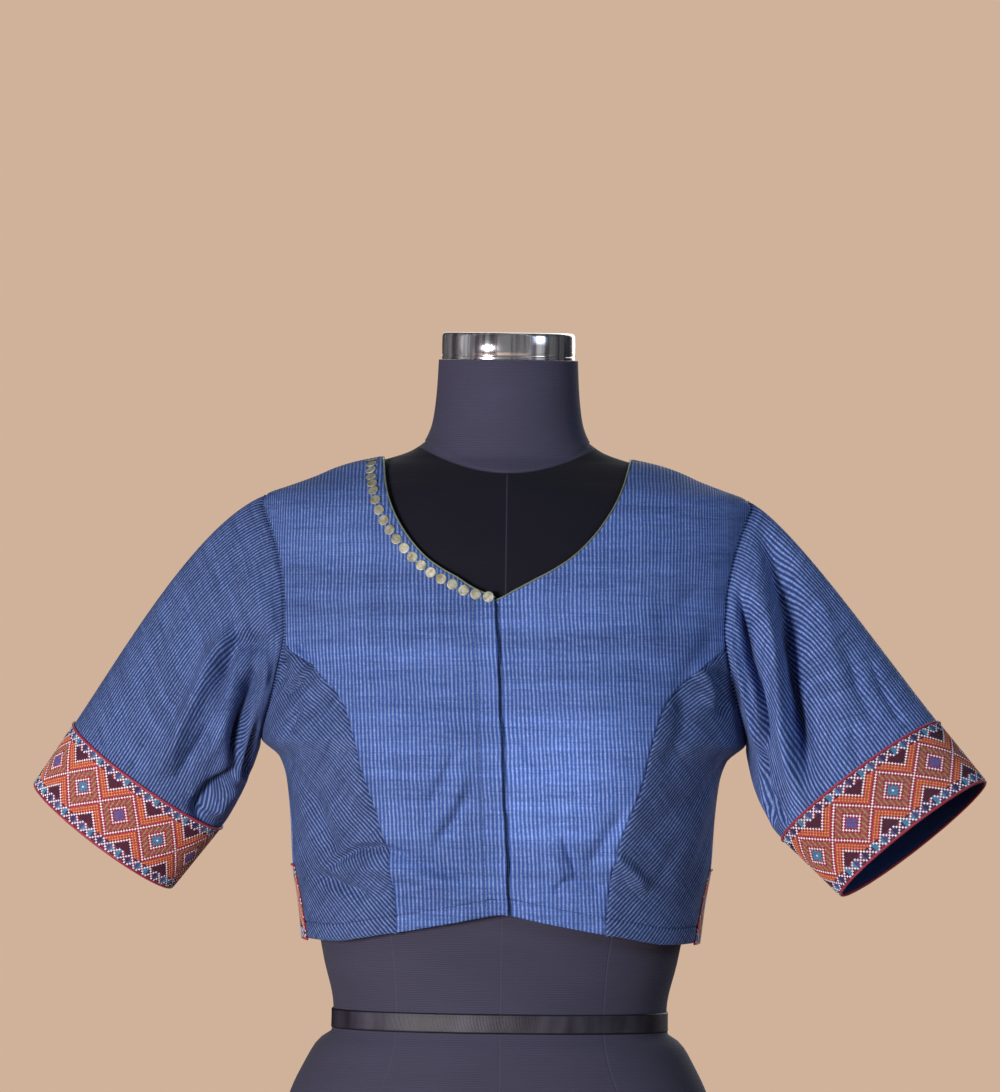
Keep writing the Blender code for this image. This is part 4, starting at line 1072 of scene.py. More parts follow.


# Painted shade: the side fronts' cloth is made darker than the fronts', partly for the lightness of the bias
# cut and partly for the shade of the sleeves and folds over them.
side_cloth = handloom_finish("blue_stripe_side_fronts", 0.67, 0.60)
side_rows = np.union1d(panel_shares(100) * ROWS_TO_V, np.arange(*SIDE_SEWING_ROWS))
side_shares = panel_shares(46)
side_grids = {}
for side, label in SIDES.items():
    seam = np.array(princess_rail(side_rows))
    line = np.array(side_seam_rail(side_rows))
    up = (side_rows / ROWS_TO_V)[:, None]
    low = seam[:, :1] + (line - seam)[:, :1] * side_shares
    high = seam[:, -1:] + (line - seam)[:, -1:] * side_shares
    hem = np.array([low[0], hem_line.read("height", low[0])])
    top = np.array(armhole_place(PRINCESS_ENDS_AT_TURN + (-90.0 - PRINCESS_ENDS_AT_TURN) * side_shares))
    across = seam[:, :, None] + (line - seam)[:, :, None] * side_shares
    along = hem[:, None] + (top - hem)[:, None] * up
    corners = low[:, None] + (high - low)[:, None] * up
    angle, height = across + along - corners
    points, outward = cloth_spot(side * angle, height)
    points = points - outward * fold_depth(SIDE_CREASES, side, angle, height, (2.0, 1.0))[..., None]
    points = rolled(
        points, outward,
        (
            ("first", 0.0, SEAM_SINKS, SEAM_ROLL), ("final", 0.0, SEAM_SINKS, SEAM_ROLL),
            ("high", 0.0, 0.9, 1.4), ("low", 0.0, 0.8, FOLD_ROLL), ("low", HEM_ROW_UP, HEM_ROW_SINKS, 1.0),
        ),
    )
    width = reach_along(points, 1)
    from_side = width[:, -1:] - width
    bias = math.radians(BIAS)
    up_cloth = points[..., 2]
    uv = np.stack([
        from_side * math.cos(bias) + up_cloth * math.sin(bias),
        up_cloth * math.cos(bias) - from_side * math.sin(bias),
    ], axis=-1)
    if side == RIGHT:
        points, uv = points[:, ::-1], uv[:, ::-1]
    piece = finish_cloth(woven_mesh(f"side_front_{label}_cloth", points, uv), side_cloth)
    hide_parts(f"side_front_{label}")
    side_grids[side] = points

# Back
# One piece, striped like the fronts, from side seam to side seam under a round neck. It hangs
# straight from the shoulder blades to the patterned band along its hem.
BACK_BAND_HEIGHT = 56.0
BACK_BAND_ROWS = 4
BACK_ARMHOLE_ROWS = 14
BACK_NECK_ROW = ROWS_TO_V + BACK_ARMHOLE_ROWS - ROWS_TO_SHOULDER
BACK_FLAT_ACROSS = 110.0
NECK_EDGE_BACK = (
    ("across", "height"),
    (0.0, 592.0),
    (28.0, 595.0),
    (52.0, 604.0),
    (72.0, 620.0),
    (86.0, 641.0),
    (93.0, 663.0),
    (97.0, 687.5),
)
BACK_CREASES = (
    ("side", "depth", "spread", "line"),
    (LEFT, 2.2, 9.0, (101.3, 543.8), (140.7, 488.2)),
    (LEFT, 1.8, 8.0, (94.5, 471.5), (145.5, 420.5)),
    (LEFT, 1.5, 9.0, (108.3, 417.9), (161.7, 390.1)),
    (LEFT, 1.2, 12.0, (149.8, 451.8), (152.2, 368.2)),
    (RIGHT, 1.9, 10.0, (99.0, 555.5), (143.0, 504.5)),
    (RIGHT, 2.1, 8.0, (93.9, 477.0), (139.1, 433.0)),
    (RIGHT, 1.3, 8.0, (104.6, 405.6), (153.4, 382.4)),
    (RIGHT, 1.1, 12.0, (147.4, 477.2), (156.6, 372.8)),
)


def back_side_rail(rows):
    """The back's side seam, then its armhole up to the shoulder tip at row 25."""
    up_angle, up_height = armhole_place(270.0 - 180.0 * climb(rows, ROWS_TO_V, BACK_ARMHOLE_ROWS))
    angle, height = side_seam_rail(rows)
    above_armpit = rows > ROWS_TO_V
    return np.where(above_armpit, up_angle, angle), np.where(above_armpit, up_height, height)


def back_centre_rail(rows):
    """The centre back line from the hem to the neck, then the neck edge to the shoulder."""
    low = hem_line.read("height", 180.0)
    plain = np.clip((rows - BACK_BAND_ROWS) / (BACK_NECK_ROW - BACK_BAND_ROWS), 0.0, 1.0)
    height = low + BACK_BAND_HEIGHT * np.clip(rows / BACK_BAND_ROWS, 0.0, 1.0)
    height = height + (NECK_EDGE_BACK[1][1] - low - BACK_BAND_HEIGHT) * plain
    across, up_height = points_along(NECK_EDGE_BACK, climb(rows, BACK_NECK_ROW))
    above_neck = rows > BACK_NECK_ROW
    angle = np.where(above_neck, 180.0 - angle_at(across, up_height), 180.0)
    return angle, np.where(above_neck, up_height, height)


def back_places(rows, shares):
    return hem_blend(back_side_rail(rows), back_centre_rail(rows), shares, rows)


def whole_back(rows, shares, out=0.0, sinks=()):
    """The back from the left side seam to the right one: points and outward directions."""
    halves = []
    for side in (LEFT, RIGHT):
        # The hem's ease is measured from row 0, so it goes in as the first row and comes out again
        angle, height = back_places(np.concatenate([[0.0], rows]), shares)
        angle, height = angle[1:], height[1:]
        points, outward = cloth_spot(side * angle, height, out)
        points = points - outward * fold_depth(BACK_CREASES, side, angle, height, (2.0, 1.0))[..., None]
        points = rolled(points, outward, sinks)
        halves.append((points, outward))
    return [np.concatenate([left, right[:, ::-1][:, 1:]], axis=1) for left, right in zip(*halves)]


def back_chart(points):
    """As chart_of, but past the shoulder blades its way across follows the cloth to the side seam."""
    chart = chart_of(points, from_lap=False)
    middle = points.shape[1] // 2
    for columns, way in ((slice(middle, None, -1), 1.0), (slice(middle + 1, None), -1.0)):
        half, across = points[:, columns], chart[:, columns, 0]
        steps = np.linalg.norm(np.diff(half[..., :2], axis=1), axis=-1)
        flat = np.abs(half[:, 1:, 0]) < BACK_FLAT_ACROSS
        steps = np.where(flat, np.abs(np.diff(across, axis=1)), steps)
        reach = np.concatenate([np.zeros_like(steps[:, :1]), np.cumsum(steps, axis=1)], axis=1)
        chart[:, columns, 0] = across[:, :1] + way * reach
    return chart


back_rows = BACK_BAND_ROWS + panel_shares(96) * (ROWS_TO_V + BACK_ARMHOLE_ROWS - BACK_BAND_ROWS)
back_rows = np.union1d(back_rows, [float(BACK_NECK_ROW)])
points, outward = whole_back(
    back_rows, panel_shares(66)[:-1].tolist() + [1.0],
    sinks=(("first", 0.0, SEAM_SINKS, SEAM_ROLL), ("high", 0.0, 0.9, 1.2), ("low", 0.0, 0.5, 1.2)),
)
neck_opening = (int(np.searchsorted(back_rows, BACK_NECK_ROW)), points.shape[1] // 2)
shell = woven_mesh("back_cloth", points, back_chart(points), opening=neck_opening)
back = finish_cloth(shell, front_cloth)
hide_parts("back")
back_grid = points

# Sleeves
# Elbow sleeves with a flat head, their lines along the arm. Slack cloth falls into deep folds
# from the armpit to the band, and the cloth's two long edges meet along the underside.
SLEEVES = {
    RIGHT: {
        "band_top": dict(outer=(335.5, 475.5), inner=(220.0, 396.0), forward=-17.0, half_depth=47.0),
        "cuff": dict(outer=(366.0, 430.0), inner=(257.0, 349.5), forward=-27.0, half_depth=45.0),
        "head_reach": 0.72,
        "under_reach": 0.60,
    },
    LEFT: {
        "band_top": dict(outer=(336.5, 484.0), inner=(217.0, 393.0), forward=38.0, half_depth=42.0),
        "cuff": dict(outer=(371.5, 440.5), inner=(260.5, 351.5), forward=53.0, half_depth=40.0),
        "head_reach": 0.46,
        "under_reach": 1.00,
    },
}
SLEEVE_END_REACH = 0.88
SLEEVE_HEAD_SLOPE = (0.93, -0.36)
SLEEVE_START_SWING = 0.25
SLEEVE_ROWS = 96
SLEEVE_COLUMNS = 208
# The seam allowance turns in under the body's cloth, a little wide of the armhole
ALLOWANCE_WIDER = 1.06
ALLOWANCE_TALLER = 1.016
ALLOWANCE_IN = 4.5
# Folds run along lines of (turn round the sleeve, way down it), scaled to millimetres
SLEEVE_FOLD_SCALE = (math.radians(62.0), 150.0)
SLEEVE_FOLDS = (
    ("side", "depth", "spread", "line"),
    (RIGHT, 10.5, 4.6, (-14.0, 0.06), (0.0, 0.22), (9.0, 0.33), (3.0, 0.40), (-4.0, 0.47), (-12.0, 0.52)),
    (RIGHT, 23.0, 10.0, (-10.0, 0.16), (-16.0, 0.32), (-30.0, 0.41), (-46.0, 0.47), (-60.0, 0.52)),
    (RIGHT, 14.0, 6.0, (-62.0, 0.42), (-54.0, 0.58), (-42.0, 0.76), (-42.0, 0.90), (-56.0, 1.04)),
    (RIGHT, -12.5, 6.0, (12.0, 0.20), (12.0, 0.44), (5.0, 0.56), (-1.0, 0.70), (-10.0, 0.94)),
    (RIGHT, -6.0, 5.5, (-2.0, 0.38), (-10.0, 0.28), (-26.0, 0.10)),
    (RIGHT, -6.0, 7.0, (-64.0, 0.56), (-60.0, 0.72), (-60.0, 0.92)),
    (RIGHT, 10.0, 9.0, (-46.0, 0.16), (-66.0, 0.34), (-84.0, 0.52)),
    (RIGHT, 5.0, 9.0, (-99.7, 0.09), (-104.3, 0.91)),
    (RIGHT, 6.0, 10.0, (197.0, 0.0), (241.0, 0.75)),
    (LEFT, -6.0, 4.6, (2.0, 0.00), (-10.0, 0.08), (-24.0, 0.18), (-36.0, 0.30), (-48.0, 0.44)),
    (LEFT, 15.8, 5.0, (24.0, 0.06), (8.0, 0.14), (-5.0, 0.21), (-14.0, 0.30), (-26.0, 0.38), (-42.0, 0.50)),
    (
        LEFT, -10.0, 7.5,
        (28.0, 0.06), (20.0, 0.22), (11.0, 0.33), (-4.0, 0.44), (-18.0, 0.54), (-28.0, 0.68), (-42.0, 0.98),
    ),
    (
        LEFT, 20.0, 9.5,
        (60.0, 0.06), (48.0, 0.22), (36.0, 0.33), (22.0, 0.42), (7.0, 0.50), (-6.0, 0.60), (-20.0, 0.74),
        (-34.0, 0.94),
    ),
    (LEFT, 8.0, 5.5, (34.0, 0.32), (18.0, 0.42), (4.0, 0.52), (-8.0, 0.62), (-18.0, 0.72)),
    (LEFT, 12.2, 7.0, (-38.0, 0.36), (-56.0, 0.52), (-70.0, 0.68), (-78.0, 0.90)),
    (LEFT, 5.0, 10.0, (-100.3, 0.04), (-95.7, 0.86)),
    (LEFT, 6.0, 10.0, (192.8, 0.0), (239.2, 0.81)),
)
SLEEVE_CREASES = (
    ("side", "depth", "spread", "line"),
    (RIGHT, 6.0, 2.8, (-10.0, 0.54), (-14.0, 0.68), (-17.0, 0.88)),
    (RIGHT, -3.6, 5.0, (-20.0, 0.44), (-24.0, 0.58), (-25.0, 0.74)),
    (RIGHT, -3.0, 9.0, (36.0, 0.22), (16.0, 0.16), (-8.0, 0.08)),
    (RIGHT, 3.5, 4.0, (24.0, 0.34), (16.0, 0.30), (6.0, 0.31)),
    (RIGHT, 2.4, 6.0, (62.0, 0.42), (40.0, 0.62), (30.0, 0.96)),
    (RIGHT, 2.8, 4.0, (20.0, 0.74), (12.0, 0.86), (6.0, 1.02)),
    (RIGHT, 2.1, 9.0, (50.0, 0.08), (26.0, 0.40), (10.0, 0.74)),
    (RIGHT, 1.5, 8.0, (161.0, 0.03), (203.0, 0.70)),
    (RIGHT, 2.1, 5.0, (224.0, 0.09), (248.0, 0.94)),
    (LEFT, -2.7, 7.0, (62.0, 0.38), (34.0, 0.60), (8.0, 0.84)),
    (LEFT, 2.8, 4.0, (46.0, 0.62), (34.0, 0.74), (26.0, 0.90)),
    (LEFT, 2.6, 3.4, (20.0, 0.80), (10.0, 0.88), (2.0, 1.02)),
    (LEFT, 2.3, 3.4, (58.0, 0.68), (48.0, 0.80), (42.0, 0.98)),
    (LEFT, 4.2, 3.4, (-52.0, 0.62), (-58.0, 0.78), (-60.0, 0.98)),
    (LEFT, 1.6, 8.0, (157.1, 0.05), (198.9, 0.75)),
    (LEFT, 2.0, 5.0, (220.2, 0.14), (245.8, 0.96)),
)


def ring_middle(side, ring):
    across = 0.5 * (ring["outer"][0] + ring["inner"][0])
    height = 0.5 * (ring["outer"][1] + ring["inner"][1])
    return np.array([side * across, -ring["forward"], height])


def sleeve_ring_point(side, name, turn):
    """Points of a sleeve ring: an oval between its outer and inner corners."""
    rings = SLEEVES[side]
    ring = rings[name]
    outer = np.array([side * ring["outer"][0], 0.0, ring["outer"][1]])
    inner = np.array([side * ring["inner"][0], 0.0, ring["inner"][1]])
    up_way = (outer - inner) * 0.5
    axis = ring_middle(side, rings["cuff"]) - ring_middle(side, rings["band_top"])
    front_way = unit(np.cross(up_way, axis)) * -side
    rise = np.sin(np.radians(turn))[..., None]
    forward = np.cos(np.radians(turn))[..., None]
    return ring_middle(side, ring) + up_way * rise + front_way * ring["half_depth"] * forward


def sleeve_point(side, turn, way):
    """Points of a sleeve's outer face. Way is 0 at the armhole, 1 at the band's top, 2 at the cuff."""
    rings = SLEEVES[side]
    band_top = sleeve_ring_point(side, "band_top", turn)
    cuff = sleeve_ring_point(side, "cuff", turn)
    angle, height = armhole_place(turn)
    start, _ = cloth_spot(side * angle, height, creased=False)
    rise = np.sin(np.radians(turn))
    head = np.sqrt(0.5 * (1.0 + rise))
    aim = unit(np.stack([
        side * SLEEVE_HEAD_SLOPE[0] * head,
        -SLEEVE_START_SWING * np.cos(np.radians(turn)),
        SLEEVE_HEAD_SLOPE[1] * head - (1.0 - head),
    ], axis=-1))
    span = np.linalg.norm(band_top - start, axis=-1, keepdims=True)
    reach = rings["under_reach"] + (rings["head_reach"] - rings["under_reach"]) * 0.5 * (1.0 + rise)
    first = aim * span * reach[..., None]
    last = unit(cuff - band_top) * span * SLEEVE_END_REACH
    s = np.minimum(way, 1.0)[..., None]
    upper = start * ((1 + 2 * s) * (1 - s) ** 2) + first * (s * (1 - s) ** 2)
    upper = upper + band_top * (s * s * (3 - 2 * s)) - last * (s * s * (1 - s))
    band = band_top + (cuff - band_top) * (way[..., None] - 1.0)
    return np.where(way[..., None] > 1.0, band, upper)


def sleeve_spot(side, turn, way, out=0.0):
    """Points of a sleeve with its folds, moved out, and the directions square to it."""
    plain = sleeve_point(side, turn, way)
    round_step = sleeve_point(side, turn + 2.0, way) - sleeve_point(side, turn - 2.0, way)
    low = np.maximum(way - 0.02, 0.0)
    along_step = sleeve_point(side, turn, low + 0.04) - sleeve_point(side, turn, low)
    outward = unit(np.cross(round_step, along_step)) * -side
    deep = 0.0
    for seen_turn in (turn, turn - 360.0):
        deep = deep + fold_depth(SLEEVE_FOLDS, side, seen_turn, way, SLEEVE_FOLD_SCALE)
        deep = deep + fold_depth(SLEEVE_CREASES, side, seen_turn, way, SLEEVE_FOLD_SCALE)
    out = out - np.where(way < 1.0, deep, 0.0)
    return plain + outward * out[..., None], outward


# Painted light and shade: the right sleeve's cloth is made darker than the fronts' and the left sleeve's a
# little lighter, for how each hangs in the light.
sleeve_cloths = {
    RIGHT: handloom_finish("blue_stripe_right_sleeve", 0.74, 0.60, 0.80),
    LEFT: handloom_finish("blue_stripe_left_sleeve", 1.02, 0.60, 1.0),
}
sleeve_turns = -90.0 + 360.0 * np.arange(SLEEVE_COLUMNS) / SLEEVE_COLUMNS
for side, label in SIDES.items():
    turn, way = np.meshgrid(sleeve_turns, panel_shares(SLEEVE_ROWS))
    points, outward = sleeve_spot(side, turn, way)
    points = rolled(points, outward, (("low", 0.0, 1.1, 1.8), ("high", 0.0, 0.5, 1.2)))
    angle, height = armhole_place(sleeve_turns)
    angle = 90.0 + (angle - 90.0) * ALLOWANCE_WIDER
    height = ARMHOLE_MIDDLE + (height - ARMHOLE_MIDDLE) * ALLOWANCE_TALLER
    allowance, _ = cloth_spot(side * angle, height, -ALLOWANCE_IN, creased=False)
    points = np.concatenate([allowance[None], points])
    plain = sleeve_point(side, turn, way)
    around = reach_along(come_round(np.concatenate([plain[:1], plain])), 1)
    top = around[:, [SLEEVE_COLUMNS // 2]]
    uv = np.stack([around - top, come_round(reach_along(points, 0))], axis=-1)
    if side == LEFT:
        points, uv = np.roll(points[:, ::-1], 1, axis=1), uv[:, ::-1]
    piece = finish_cloth(woven_mesh(f"sleeve_{label}_cloth", points, uv, closed=True), sleeve_cloths[side])
    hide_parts(f"sleeve_{label}")

# Patterned bands
# Narrow strips of dark red cotton worked all over in cross-stitch: a row of stepped diamonds in an
# orange zig-zag, dark triangles between them, and small white crosses on blue along both edges.
# One band finishes each cuff and one runs along the back's hem.
CHART_ROWS = 37
CHART_REPEAT = 24
# Repeats of the pattern round each sleeve, and the pattern's column at the under seam
BAND_REPEATS = {RIGHT: (10, 26), LEFT: (9, 0)}
BACK_BAND_START = 5
BAND_WALL = 1.4
BAND_STANDS = 0.15
BAND_COLUMNS = 144
THREADS = {
    "white": (0.980, 0.860, 0.900),
    "red": (0.330, 0.016, 0.050),
    "orange": (0.860, 0.280, 0.090),
    "brick": (0.460, 0.075, 0.060),
    "khaki": (0.470, 0.270, 0.130),
    "rose": (0.400, 0.075, 0.085),
    "moss": (0.330, 0.240, 0.095),
    "teal": (0.045, 0.260, 0.440),
    "violet": (0.120, 0.110, 0.330),
    "maroon": (0.050, 0.010, 0.030),
    "slate": (0.060, 0.090, 0.250),
    "navy": (0.022, 0.030, 0.110),
}


def chart_thread(column, row):
    """The thread of one stitch, by its column along the band and its row from the middle."""
    repeat, place = divmod(column, CHART_REPEAT)
    along = abs(place - CHART_REPEAT // 2)
    out = abs(row)
    if out >= 14:
        cross = (column % 6) - 3
        if abs(cross) == abs(out - 16):
            return "white"
        if abs(cross) > abs(out - 16):
            return ("teal", "slate", "navy")[(column // 6) % 3]
        return "red" if (column + row) % 3 == 0 else "navy"
    step = along + out
    if step in (12, 5, 19):
        return "white"
    if step in (4, 6, 11, 13, 18):
        return "red"
    if step < 4:
        centre = "teal" if repeat % 2 == 0 else "violet"
        return "white" if step == 0 and centre == "teal" else centre
    if step < 12:
        return "rose" if place % 2 else ("khaki", "moss")[(place // 2 + row) % 2]
    if step < 18:
        return "orange" if (place + row) % 2 else "brick"
    return "maroon"


def set_pieces_tree():
    """Geometry nodes that set a copy of one small piece on every point, turned to the point's
    outward and along directions."""
    tree = bpy.data.node_groups.new("set pieces", "GeometryNodeTree")
    inputs = {"Geometry": "Geometry", "Piece": "Object", "Size": "Float", "Finish": "Material"}
    for label, kind in inputs.items():
        tree.interface.new_socket(label, in_out="INPUT", socket_type=f"NodeSocket{kind}")
    tree.interface.new_socket("Geometry", in_out="OUTPUT", socket_type="NodeSocketGeometry")
    given = tree.nodes.new("NodeGroupInput")
    points, piece, size, finish = (Value(tree, given.outputs[i]) for i in range(4))
    shape = node(tree, "GeometryNodeObjectInfo", None, {0: piece, 1: True}, out="Geometry")
    outward, along = (
        node(tree, "GeometryNodeInputNamedAttribute", {"data_type": "FLOAT_VECTOR"}, {"Name": label})
        for label in ("outward", "along")
    )
    raised = node(tree, "FunctionNodeAlignRotationToVector", {"axis": "Z"}, {"Vector": outward})
    turned = node(
        tree, "FunctionNodeAlignRotationToVector", {"axis": "X", "pivot_axis": "Z"},
        {"Rotation": raised, "Vector": along},
    )
    placed = node(
        tree, "GeometryNodeInstanceOnPoints", None,
        {"Points": points, "Instance": shape, "Rotation": turned, "Scale": size},
    )
    real = node(tree, "GeometryNodeRealizeInstances", None, (placed,))
    made = node(tree, "GeometryNodeSetMaterial", None, {"Geometry": real, "Material": finish})
    out = tree.nodes.new("NodeGroupOutput")
    tree.links.new(made.socket, out.inputs[0])
    return tree


set_pieces_nodes = set_pieces_tree()


def set_pieces(name, points, outward, along, shape, size, finish, tints=None, chart=None):
    """Copies of a small shape on points, as one plain mesh. Tints give each copy its colour, and
    chart its corner in the piece's pattern, in the unit square."""
    mesh = bpy.data.meshes.new(name + "_points")
    mesh.from_pydata((points * MM).tolist(), [], [])
    for label, vectors in (("outward", outward), ("along", along)):
        stored = mesh.attributes.new(label, "FLOAT_VECTOR", "POINT")
        stored.data.foreach_set("vector", vectors.astype(np.float32).ravel())
    carrier = bpy.data.objects.new(name + "_points", mesh)
    scene.collection.objects.link(carrier)
    scene.collection.objects.link(shape)
    modifier = carrier.modifiers.new("set pieces", "NODES")
    modifier.node_group = set_pieces_nodes
    given = {"Piece": shape, "Size": size * MM, "Finish": finish}
    for item in set_pieces_nodes.interface.items_tree:
        if item.in_out == "INPUT" and item.name in given:
            modifier[item.identifier] = given[item.name]
    depsgraph = bpy.context.evaluated_depsgraph_get()
    whole = bpy.data.meshes.new_from_object(
        carrier.evaluated_get(depsgraph), preserve_all_data_layers=True, depsgraph=depsgraph
    )
    whole.name = name
    each = len(shape.data.vertices)
    if tints is not None:
        stored = whole.attributes.new("tint", "FLOAT_COLOR", "POINT")
        colours = np.repeat(np.column_stack([tints, np.ones(len(tints))]), each, axis=0)
        stored.data.foreach_set("color", colours.astype(np.float32).ravel())
    if chart is not None:
        local = np.array([vertex.co[:2] for vertex in shape.data.vertices])
        corner, cell = chart
        places = (corner[:, None, :] + local[None, :, :] * cell).reshape(-1, 2)
        layer = whole.uv_layers.new(name="OFBake")
        index = np.zeros(len(whole.loops), dtype=np.int32)
        whole.loops.foreach_get("vertex_index", index)
        layer.uv.foreach_set("vector", places[index].astype(np.float32).ravel())
    made = bpy.data.objects.new(name, whole)
    scene.collection.objects.link(made)
    bpy.data.objects.remove(carrier)
    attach(made, "root")
    return made


def strand(start, end, width, rise):
    """Corners and faces of one short thread: flat ends and a raised middle."""
    start, end = np.array(start), np.array(end)
    side = np.array([-(end - start)[1], (end - start)[0]])
    side = side / np.linalg.norm(side) * width * 0.5
    middle = 0.5 * (start + end)
    narrow = side * 0.7
    flat = [start - narrow, start + narrow, middle - side, middle + side, end - narrow, end + narrow]
    corners = [(*at, 0.0) for at in flat] + [(*middle, rise)]
    faces = [(0, 6, 1), (0, 2, 6), (1, 6, 3), (4, 5, 6), (2, 4, 6), (3, 6, 5)]
    return corners, faces


def cross_stitch_shape():
    """Two crossed threads that fill one square of the cloth's count."""
    first, faces = strand((-0.43, -0.43), (0.43, 0.43), 0.44, 0.28)
    second, _ = strand((-0.43, 0.43), (0.43, -0.43), 0.44, 0.40)
    faces = faces + [tuple(i + len(first) for i in face) for face in faces]
    mesh = bpy.data.meshes.new("cross_stitch")
    mesh.from_pydata(first + second, [], faces)
    mesh.shade_smooth()
    return bpy.data.objects.new("cross_stitch", mesh)


cotton = new_finish("patterned_band", roughness=0.85, specular=0.15)
tree, chart, u, v = cloth_places_in(cotton)
weave = wave(u, 0.0008) * wave(v, 0.0008)
fibres = noise(tree, chart, 900.0, 3.0)
feed(cotton, "Base Color", mixed(fibres, (0.110, 0.008, 0.020), (0.190, 0.016, 0.036)))
relief(cotton, weave * 0.5 + fibres * 0.5, 0.3, 0.7)

floss = new_finish("band_floss", roughness=0.60, specular=0.3, sheen=0.35, sheen_roughness=0.4)
tree, place = places_in(floss)
tint = node(tree, "ShaderNodeAttribute", {"attribute_name": "tint"})
fuzz = noise(tree, place, 1800.0, 2.0)
feed(floss, "Base Color", dimmed(tint, 0.82 + fuzz * 0.36))
relief(floss, fuzz, 0.15, 0.6)


def work_band(name, surface, columns, start, base):
    """Works a band's cross-stitches on its base. surface gives points, outward directions and the
    way along for rows of places from 0 to 1 round or along the band, and up it. The pattern
    begins at its column start."""
    rows = (np.arange(CHART_ROWS) + 0.5) / CHART_ROWS
    along = (np.arange(columns) + 0.5) / columns
    points, outward, run = surface(along, rows)
    middle = CHART_ROWS // 2
    tints = np.array([
        THREADS[chart_thread(column + start, row - middle)]
        for row in range(CHART_ROWS) for column in range(columns)
    ])
    vary = np.random.default_rng(11).uniform(0.86, 1.12, (len(tints), 1))
    corner = np.stack(np.meshgrid(along, rows), axis=-1).reshape(-1, 2)
    cell = np.array([1.0 / columns, 1.0 / CHART_ROWS])
    size = float(np.linalg.norm(np.diff(points, axis=1), axis=-1).mean())
    stitches = set_pieces(
        name, points.reshape(-1, 3), outward.reshape(-1, 3), run.reshape(-1, 3), cross_stitch_shape(),
        size, floss, tints * vary, (corner, cell),
    )
    bpy.data.objects.remove(bpy.data.objects["cross_stitch"])
    base.data.materials.append(cotton)
    base.data.materials.append(lining_and_shade)
    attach(base, "root")
    return stitches


def round_band(side, along, rows):
    """Places round a sleeve's band, the same distance apart in each row, from the under seam."""
    fine = np.linspace(-90.0, 270.0, 721)
    turn, way = np.meshgrid(fine, 1.0 + rows)
    reach = reach_along(sleeve_spot(side, turn, way)[0], 1)
    turns = np.array([np.interp(along * line[-1], line, fine) for line in reach])
    way = np.broadcast_to((1.0 + rows)[:, None], turns.shape)
    points, outward = sleeve_spot(side, turns, way)
    ahead, _ = sleeve_spot(side, turns + 1.0, way)
    return points + outward * BAND_STANDS, outward, unit(ahead - points)


band_stitches = {}
for side, label in SIDES.items():
    surface = partial(round_band, side)
    points, _, _ = surface(np.arange(BAND_COLUMNS) / BAND_COLUMNS, np.linspace(0.004, 0.996, 24))
    uv = np.stack([reach_along(come_round(points), 1), come_round(reach_along(points, 0))], axis=-1)
    if side == LEFT:
        points, uv = np.roll(points[:, ::-1], 1, axis=1), uv[:, ::-1]
    base = with_wall(woven_mesh(f"cuff_band_{label}", points, uv, closed=True), BAND_WALL, 1)
    repeats, start = BAND_REPEATS[side]
    band_stitches[side] = work_band(
        f"cuff_band_{label}_stitches", surface, CHART_REPEAT * repeats, start, base
    )
    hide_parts(f"sleeve_band_{label}")


def read_line(at, reach, line):
    """Points or directions of a line, at lengths along it."""
    return np.stack([np.interp(at, reach, line[:, k]) for k in range(3)], axis=-1)


def along_back_band(along, rows):
    """Places along the back's band from the left side seam to the right one."""
    fine = np.linspace(0.0, 1.0, 120)
    line, line_out = whole_back(rows * BACK_BAND_ROWS, fine)
    reach = reach_along(line, 1)
    points, outward = (
        np.stack([read_line(along * far[-1], far, row) for far, row in zip(reach, grid)])
        for grid in (line, line_out)
    )
    run = unit(np.gradient(points, axis=1))
    return points + unit(outward) * BAND_STANDS, unit(outward), run


points, outward, _ = along_back_band(panel_shares(110), np.linspace(0.004, 0.996, 22))
uv = np.stack([reach_along(points, 1), reach_along(points, 0)], axis=-1)
back_band = with_wall(woven_mesh("hem_band_back", points, uv), BAND_WALL, 1)
middle_length = float(reach_along(points, 1)[len(points) // 2 - 1, -1])
columns = round(middle_length / (BACK_BAND_HEIGHT / CHART_ROWS))
back_stitches = work_band("hem_band_back_stitches", along_back_band, columns, BACK_BAND_START, back_band)
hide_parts("back_band")

# Pipings
# Thin cords covered with bias strips: crimson satin above and below each patterned band, and an
# olive-gold weave round the neck. Each is caught in its seam, so that half of it shows.
PIPING_RADIUS = 1.05
NECK_PIPING_RADIUS = 0.62
NECK_PIPING_IN = 0.4
NECK_LEFT_FROM = 0.084
PIPING_SIDES = 10
PIPING_POINTS = 150
# How far out of the cloth's face, and past its edge, each red piping's middle lies
PIPING_SEATS = {"top": (0.75, 0.0), "edge": (-0.55, 0.95)}


def cord(name, points, outward, radius, closed):
    """A tube round a line of points, with its length and its girth as its UV map."""
    if closed:
        run = np.roll(points, -1, axis=0) - np.roll(points, 1, axis=0)
    else:
        run = np.gradient(points, axis=0)
    run = unit(run)
    side_way = unit(np.cross(run, outward))
    up_way = unit(np.cross(side_way, run))
    turn = 2.0 * math.pi * np.arange(PIPING_SIDES + 1) / PIPING_SIDES
    ring = side_way[None] * np.cos(turn)[:, None, None] + up_way[None] * np.sin(turn)[:, None, None]
    swell = 1.0 + 0.05 * np.sin(np.arange(len(points)) * 0.9) * np.sin(np.arange(len(points)) * 0.23)
    skin = points[None] + ring * (radius * swell)[None, :, None]
    length = reach_along(points[None], 1)[0]
    uv = np.stack(np.broadcast_arrays(length[:, None], (turn * radius)[None, :]), axis=-1)
    grid = np.transpose(skin[:-1], (1, 0, 2))
    if closed:
        grid = np.concatenate([grid, grid[:1]])
        last = length[-1] + np.linalg.norm(points[0] - points[-1])
        uv = np.concatenate([uv, uv[:1] + np.array([last, 0.0])])
    piece = woven_mesh(name, grid[:, ::-1], uv[:, ::-1], closed=True, capped=not closed)
    if closed:
        weld = piece.modifiers.new("weld", "WELD")
        weld.merge_threshold = 0.00001
    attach(piece, "root")
    return piece


